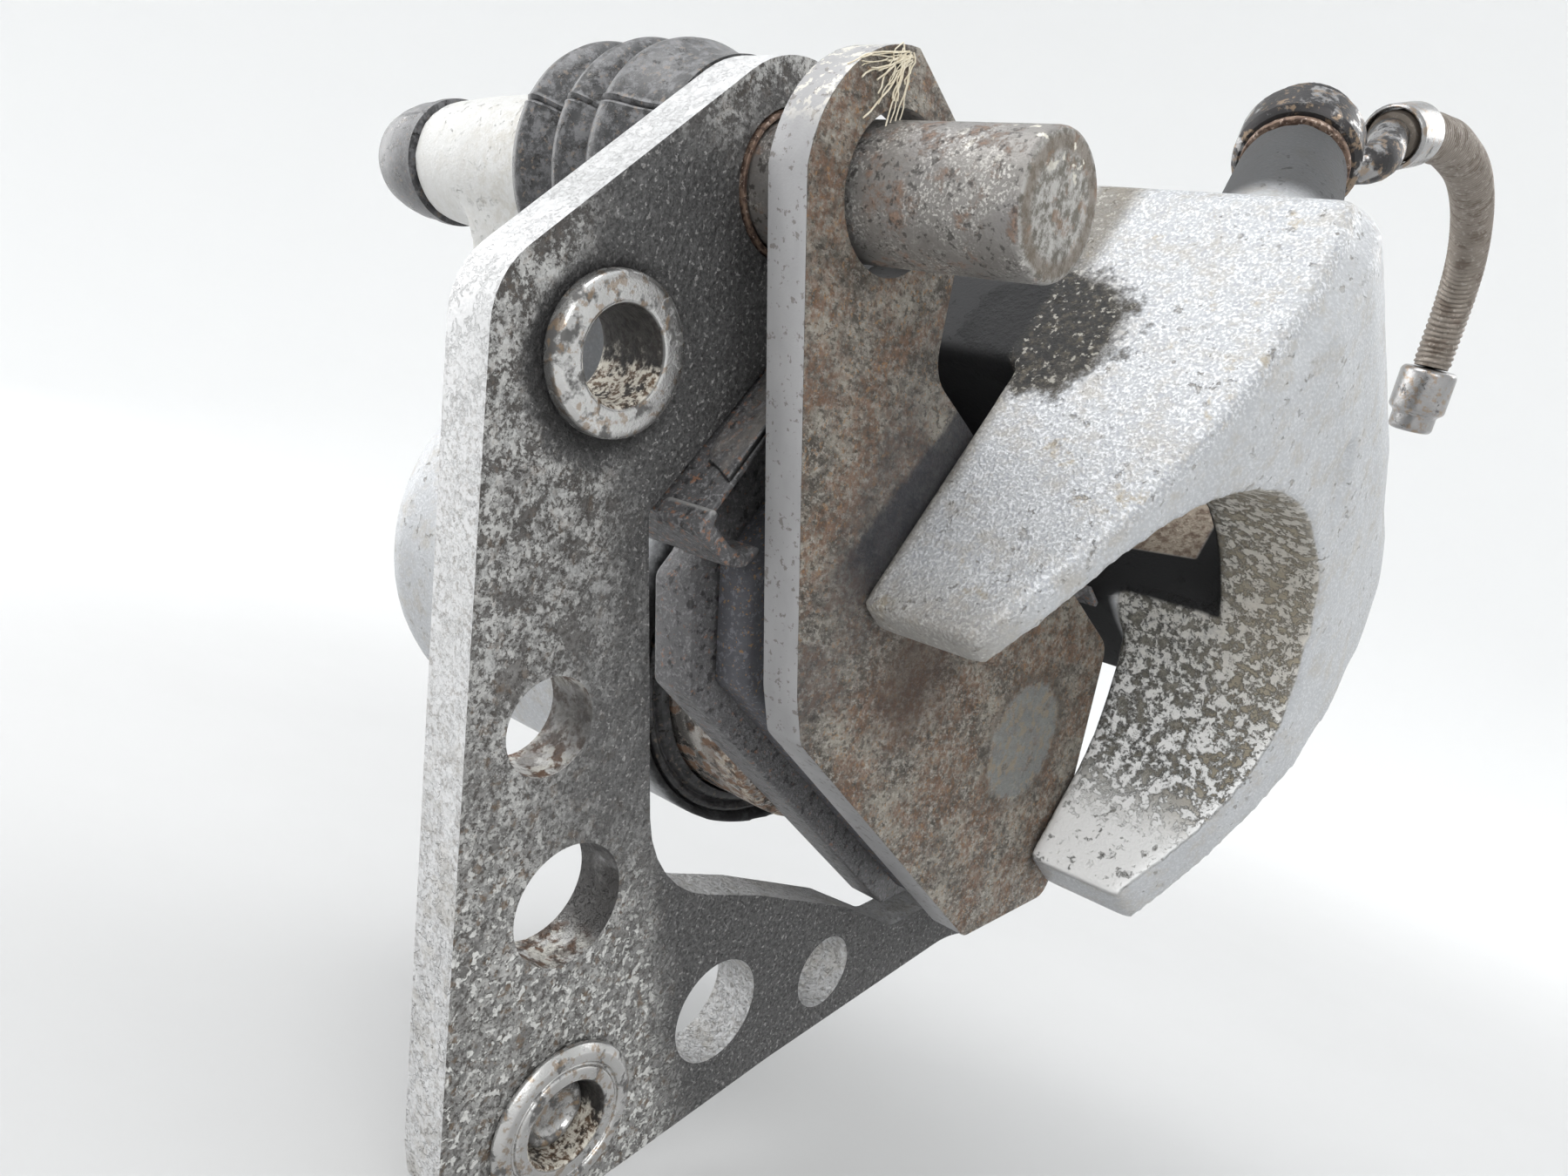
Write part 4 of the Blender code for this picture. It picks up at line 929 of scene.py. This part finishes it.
# ---- bracket side
def bracket_side():
    """The plate with rounder holes, and the turned pieces that sit in it."""
    arcs = [(centre, radius) for centre, radius, _ in HOLES]
    arcs += [(UPPER_BOLT, COLLAR_SEAT_R), (LOWER_BOLT, COLLAR_SEAT_R), ((0.0, 0.0), EAR_R)]
    stand_in(dressed("caliper_bracket", "caliper_bracket", 0.55, arcs=arcs),
             "caliper_bracket")

    shaft = [(-56, 0), (-56, 5.6), (-30.6, 5.6), (-30.6, 7.0), (32.6, 7.0), (32.6, 0)]
    turned("slide_shaft", "slide_shaft_finish", soften(shaft, 0.9, 5, closed=False),
           "shaft")
    ring = [(-6.7, 7.3), (-6.7, 7.8), (0.4, 7.8), (0.4, 7.3)]
    turned("shaft_collar", "shaft_collar_finish", soften(ring, 0.15, 3), "copper")

    upper = [(-6.7, 4.7), (-6.7, 6.75), (0.35, 6.75), (0.35, 8.1), (2.7, 8.1), (2.7, 5.2),
             (2.2, 4.7)]
    turned("upper_mount_collar", "upper_collar_finish", soften(upper, 0.95, 6),
           "upper_collar", UPPER_BOLT)
    lower = [(-6.7, 5.15), (-6.7, 6.75), (0.35, 6.75), (0.35, 9.8), (0.9, 9.8), (1.6, 8.9),
             (1.6, 7.7), (1.15, 7.5), (1.15, 7.2), (1.6, 7.0), (1.6, 5.6), (1.2, 5.15)]
    turned("lower_mount_collar", "lower_collar_finish", soften(lower, 0.25, 4),
           "lower_collar", LOWER_BOLT)
    bolt = [(-21, 0), (-21, 3.6), (-20.2, 4.4), (-1.5, 4.4), (-0.8, 3.9), (-0.8, 3.2),
            (-1.3, 2.9), (-1.6, 2.2), (-1.6, 0)]
    turned("mount_bolt", "mount_bolt_finish", soften(bolt, 0.3, 4, closed=False),
           "bolt", LOWER_BOLT, 64)
    pin = [(-36, 0), (-36, 4.2), (-35.2, 5.0), (0.3, 5.0), (0.3, 6.4), (5.4, 6.4), (5.4, 3.1),
           (2.6, 2.8), (2.6, 0)]
    turned("guide_pin", "guide_pin_finish", soften(pin, 0.5, 4, closed=False),
           "bolt", GUIDE_PIN.yz, 72)


def slab(name, outline, step, ease):
    """A pressed part of the clip, with eased edges."""
    obj = eased(extruded(name, outline, step, "clip"), ease, 4, 25, "MITER_SHARP")
    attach(obj, "bracket")


def clip_details():
    """The pressed rib and the rolled lip of the upper pad clip."""
    rib = [(0.5, 12.6), (0.5, 1.0), (0.9, -0.7), (1.9, -1.7), (3.6, -2.3), (5.9, -3.4),
           (5.9, 12.6)]
    slab("clip_rib", [pad_point(x, -51.8, n) for x, n in rib], T_AXIS * -1.05, 0.5)
    lip = [(-53.4, -7.8), (-53.0, -7.1), (-52.2, -7.1), (-51.8, -8.2), (-48.0, -8.2),
           (-45.6, -7.4), (-44.6, -5.6), (-43.8, -5.8), (-44.5, -8.4), (-46.6, -9.9),
           (-52.6, -10.2), (-53.4, -9.7)]
    slab("clip_lip", [pad_point(0.4, t, n) for t, n in lip], Vector((7.0, 0, 0)), 0.45)


def pads():
    """Both pads and the clips that guide the inner one."""
    for node, paint, width, segments, slot in (
            ("outer_pad_plate", "outer_plate", 0.45, 3, "rusty_steel"),
            ("outer_pad_lining", "lining", 0.5, 2, "lining"),
            ("inner_pad_plate", "inner_plate", 0.45, 3, "black_steel"),
            ("inner_pad_lining", "lining", 0.9, 1, "lining"),
            ("upper_pad_clip", "clip", 0.25, 2, "black_steel"),
            ("lower_pad_clip", "clip", 0.25, 2, "black_steel")):
        stand_in(dressed(node, paint, width, segments), node)


# ---- caliper side
LEAF = [(-10, 49.5), (-6, 44), (-1, 40), (3, 38.4), (3.5, 41.5), (-1, 46), (-6, 50.2)]
DISC = [(21.5 + 2.9 * math.cos(math.radians(a)), 37 + 3.6 * math.sin(math.radians(a)))
        for a in range(0, 360, 15)]


def casting():
    """The CAD casting with soft foundry edges and two shallow cored recesses."""
    obj = from_bmesh("caliper_casting", clean_copy("caliper_body"), "caliper_body", smooth=False)
    cutters = []
    for name, outline, floor_x in (("leaf", LEAF, 42.9), ("disc", DISC, 41.4)):
        loop = [pad_point(floor_x, t, n) for t, n in outline]
        cutter = extruded("cut_" + name, loop, Vector((20, 0, 0)), "caliper_body")
        mod = obj.modifiers.new(name, "BOOLEAN")
        mod.operation, mod.solver, mod.object = "DIFFERENCE", "EXACT", cutter
        cutters.append(cutter)
    mod = obj.modifiers.new("skin", "REMESH")
    mod.mode, mod.voxel_size = "VOXEL", 0.75 * MM
    mod.use_smooth_shade = True
    mod = obj.modifiers.new("soft", "SMOOTH")
    mod.factor, mod.iterations = 0.5, 12
    settle(obj)
    for cutter in cutters:
        bpy.data.objects.remove(cutter)
    obj.data.materials.clear()
    obj.data.materials.append(PAINTS["caliper_body"])
    stand_in(obj, "caliper_body")


def off_seam(angle, first):
    """Degrees to the nearer of two mould seams, at first and opposite it."""
    return abs((angle - first + 90) % 180 - 90)


def boots():
    """Bellows on the slide shaft and guide pin, and the arm cap; the shaft's bellows and the cap
    have mould seams.
    """
    outer = [(-34.3, 10.4), (-33.6, 11.0), (-32.6, 11.4), (-31.6, 12.2), (-30.4, 13.8),
             (-29.5, 14.6), (-28.6, 14.8), (-27.7, 14.6), (-26.6, 13.7), (-25.6, 12.7),
             (-24.9, 12.4), (-24.1, 12.8), (-22.9, 14.2), (-22.0, 14.9), (-21.2, 15.1),
             (-20.4, 14.9), (-19.4, 14.1), (-18.7, 13.2), (-18.2, 12.9), (-17.7, 13.3),
             (-16.9, 14.4), (-16.1, 14.9), (-15.2, 15.0), (-14.2, 14.9), (-13.0, 14.4),
             (-11.4, 13.8), (-9.6, 13.4), (-8.2, 13.25), (-7.0, 13.2)]
    inner = [(x, max(r - 1.6, 8.8)) for x, r in outer][::-1]
    inner[0], inner[-1] = (-7.0, 8.8), (-34.3, 9.0)

    def seam(r, angle):
        off = off_seam(angle, 170.0)
        if r > 9.3 and off < 3.0:
            groove, flash = max(0.0, 1 - off / 0.9), max(0.0, 1 - abs(off - 1.7) / 1.1)
            r += -0.35 * groove + 0.16 * flash
        return r

    boot = lathe("shaft_bellows", outer + inner, "boot", steps=400, shape=seam)
    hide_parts("shaft_boot")
    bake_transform(boot)
    small = [(-16.2, 5.3), (-16.2, 6.6), (-15.4, 6.9), (-14.2, 7.4), (-13.2, 6.9), (-12.4, 6.4),
             (-11.4, 6.9), (-10.4, 7.4), (-9.4, 7.0), (-8.6, 6.8), (-7.1, 6.8), (-7.1, 5.3)]
    sleeve = lathe("pin_bellows", soften(small, 0.3, 3), "boot", GUIDE_PIN.yz)
    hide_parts("guide_pin_boot")
    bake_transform(sleeve)

    def cap_seam(r, angle):
        if r > 1.0:
            r -= 0.22 * max(0.0, 1 - off_seam(angle, 152.0) / 2.0)
        return r

    cap = [(-61.1, 6.2), (-61.1, 8.3), (-62.4, 8.3), (-62.7, 7.95), (-64.0, 8.0), (-66.6, 7.8),
           (-69.0, 7.3), (-71.2, 6.6), (-73.0, 5.6), (-74.3, 4.3), (-75.1, 2.6), (-75.5, 0),
           (-73.6, 0), (-71.4, 4.2), (-66.0, 6.2)]
    stand_in(lathe("arm_cap_finish", cap, "cap", steps=240, shape=cap_seam), "arm_cap")


def caliper_fittings():
    """Seals, spring, hose union, bleed screw and piston, in their own CAD shapes."""
    for node, paint, width, slot in (
            ("piston_seal", "seal", 0.3, "rubber"), ("piston_dust_boot", "seal", 0.2, "rubber"),
            ("pad_spring", "spring", 0.25, "black_steel"),
            ("lower_seal_washer", "washer", 0.2, "copper_rust"),
            ("upper_seal_washer", "washer", 0.2, "copper_rust"),
            ("banjo_bolt", "union", 0.4, "bright_steel"),
            ("banjo_fitting", "union", 0.5, "bright_steel"),
            ("bleed_screw", "brass", 0.3, "brass_dull"), ("bleed_cap", "seal", 0.4, "rubber"),
            ("piston", "piston", 0.5, "piston_steel")):
        stand_in(dressed(node, paint, width), node)


FIBRES, FIBRE_SPANS = 26, 8


def fibres():
    """A frayed tuft caught on the corner of the outer pad's ear."""
    rng = random.Random(7)
    top = Vector((14.0, -4.6, 12.6))
    for i in range(FIBRES):
        data = bpy.data.curves.new(f"fibre_{i}", "CURVE")
        data.dimensions = "3D"
        data.bevel_depth = rng.uniform(0.05, 0.11) * MM
        data.bevel_resolution = 1
        spline = data.splines.new("POLY")
        reach = rng.uniform(3.0, 10.0)
        spread = rng.uniform(-1.0, 0.25)
        start = top + Vector((0.25, rng.uniform(-1.4, 0.8), rng.uniform(-0.8, 0.3)))
        spline.points.add(FIBRE_SPANS)
        bend = rng.uniform(-1.2, 1.2)
        for k, point in enumerate(spline.points):
            u = k / FIBRE_SPANS
            y = start.y + spread * reach * u + 0.5 * bend * math.sin(u * 5 + i)
            z = start.z - reach * u * (1.0 - 0.5 * abs(spread)) - 0.3
            x = 14.15 + 0.25 * math.sin(u * 7 + i) ** 2
            point.co = (x * MM, y * MM, z * MM, 1.0)
        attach(link(f"fibre_{i}", data, "fibre"), "outer_pad")


# ---- studio
def studio():
    """A round floor that curves up into a wall, a pale sky and four soft lamps."""
    low = cad_box[0][2] - 0.0015
    flat, cove, top, sides, turn = 0.8, 0.9, 2.6, 48, math.pi / 24
    outline = [(flat, 0.0)]
    outline += [(flat + cove * math.sin(a * turn), cove - cove * math.cos(a * turn))
                for a in range(1, 13)]
    outline.append((flat + cove, top))
    bm = bmesh.new()
    centre = bm.verts.new((0.05, 0.03, low))
    rows = [[bm.verts.new((0.05 + reach * math.cos(k * turn), 0.03 + reach * math.sin(k * turn),
                           low + rise)) for k in range(sides)] for reach, rise in outline]
    for k in range(sides):
        j = (k + 1) % sides
        bm.faces.new((centre, rows[0][k], rows[0][j]))
        for a, b in zip(rows, rows[1:]):
            bm.faces.new((a[k], b[k], b[j], a[j]))
    floor = from_bmesh("studio_floor", bm, "floor")
    world = bpy.data.worlds.new("studio")
    world.use_nodes = True
    sky = world.node_tree.nodes["Background"]
    sky.inputs[0].default_value = (0.95, 0.975, 1.0, 1.0)
    sky.inputs[1].default_value = 1.09
    bpy.context.scene.world = world
    middle = Vector((0.0, 0.03, -0.03))
    for name, place, size, power in (
            ("key", (-0.25, -0.35, 0.75), 0.6, 4.0), ("side", (-0.75, -0.2, 0.15), 0.6, 2.6),
            ("front", (0.65, -0.55, 0.35), 0.5, 3.0), ("back", (0.3, 0.8, 0.6), 0.5, 2.0)):
        data = bpy.data.lights.new(name, "AREA")
        data.shape, data.size, data.energy = "SQUARE", size, power
        lamp = bpy.data.objects.new(name, data)
        lamp.location = place
        lamp.rotation_euler = (middle - Vector(place)).to_track_quat("-Z", "Y").to_euler()
        bpy.context.scene.collection.objects.link(lamp)
    bpy.context.scene.view_settings.view_transform = "Standard"


for build in (hose, bracket_side, clip_details, pads, casting, boots, caliper_fittings, fibres,
              studio):
    build()
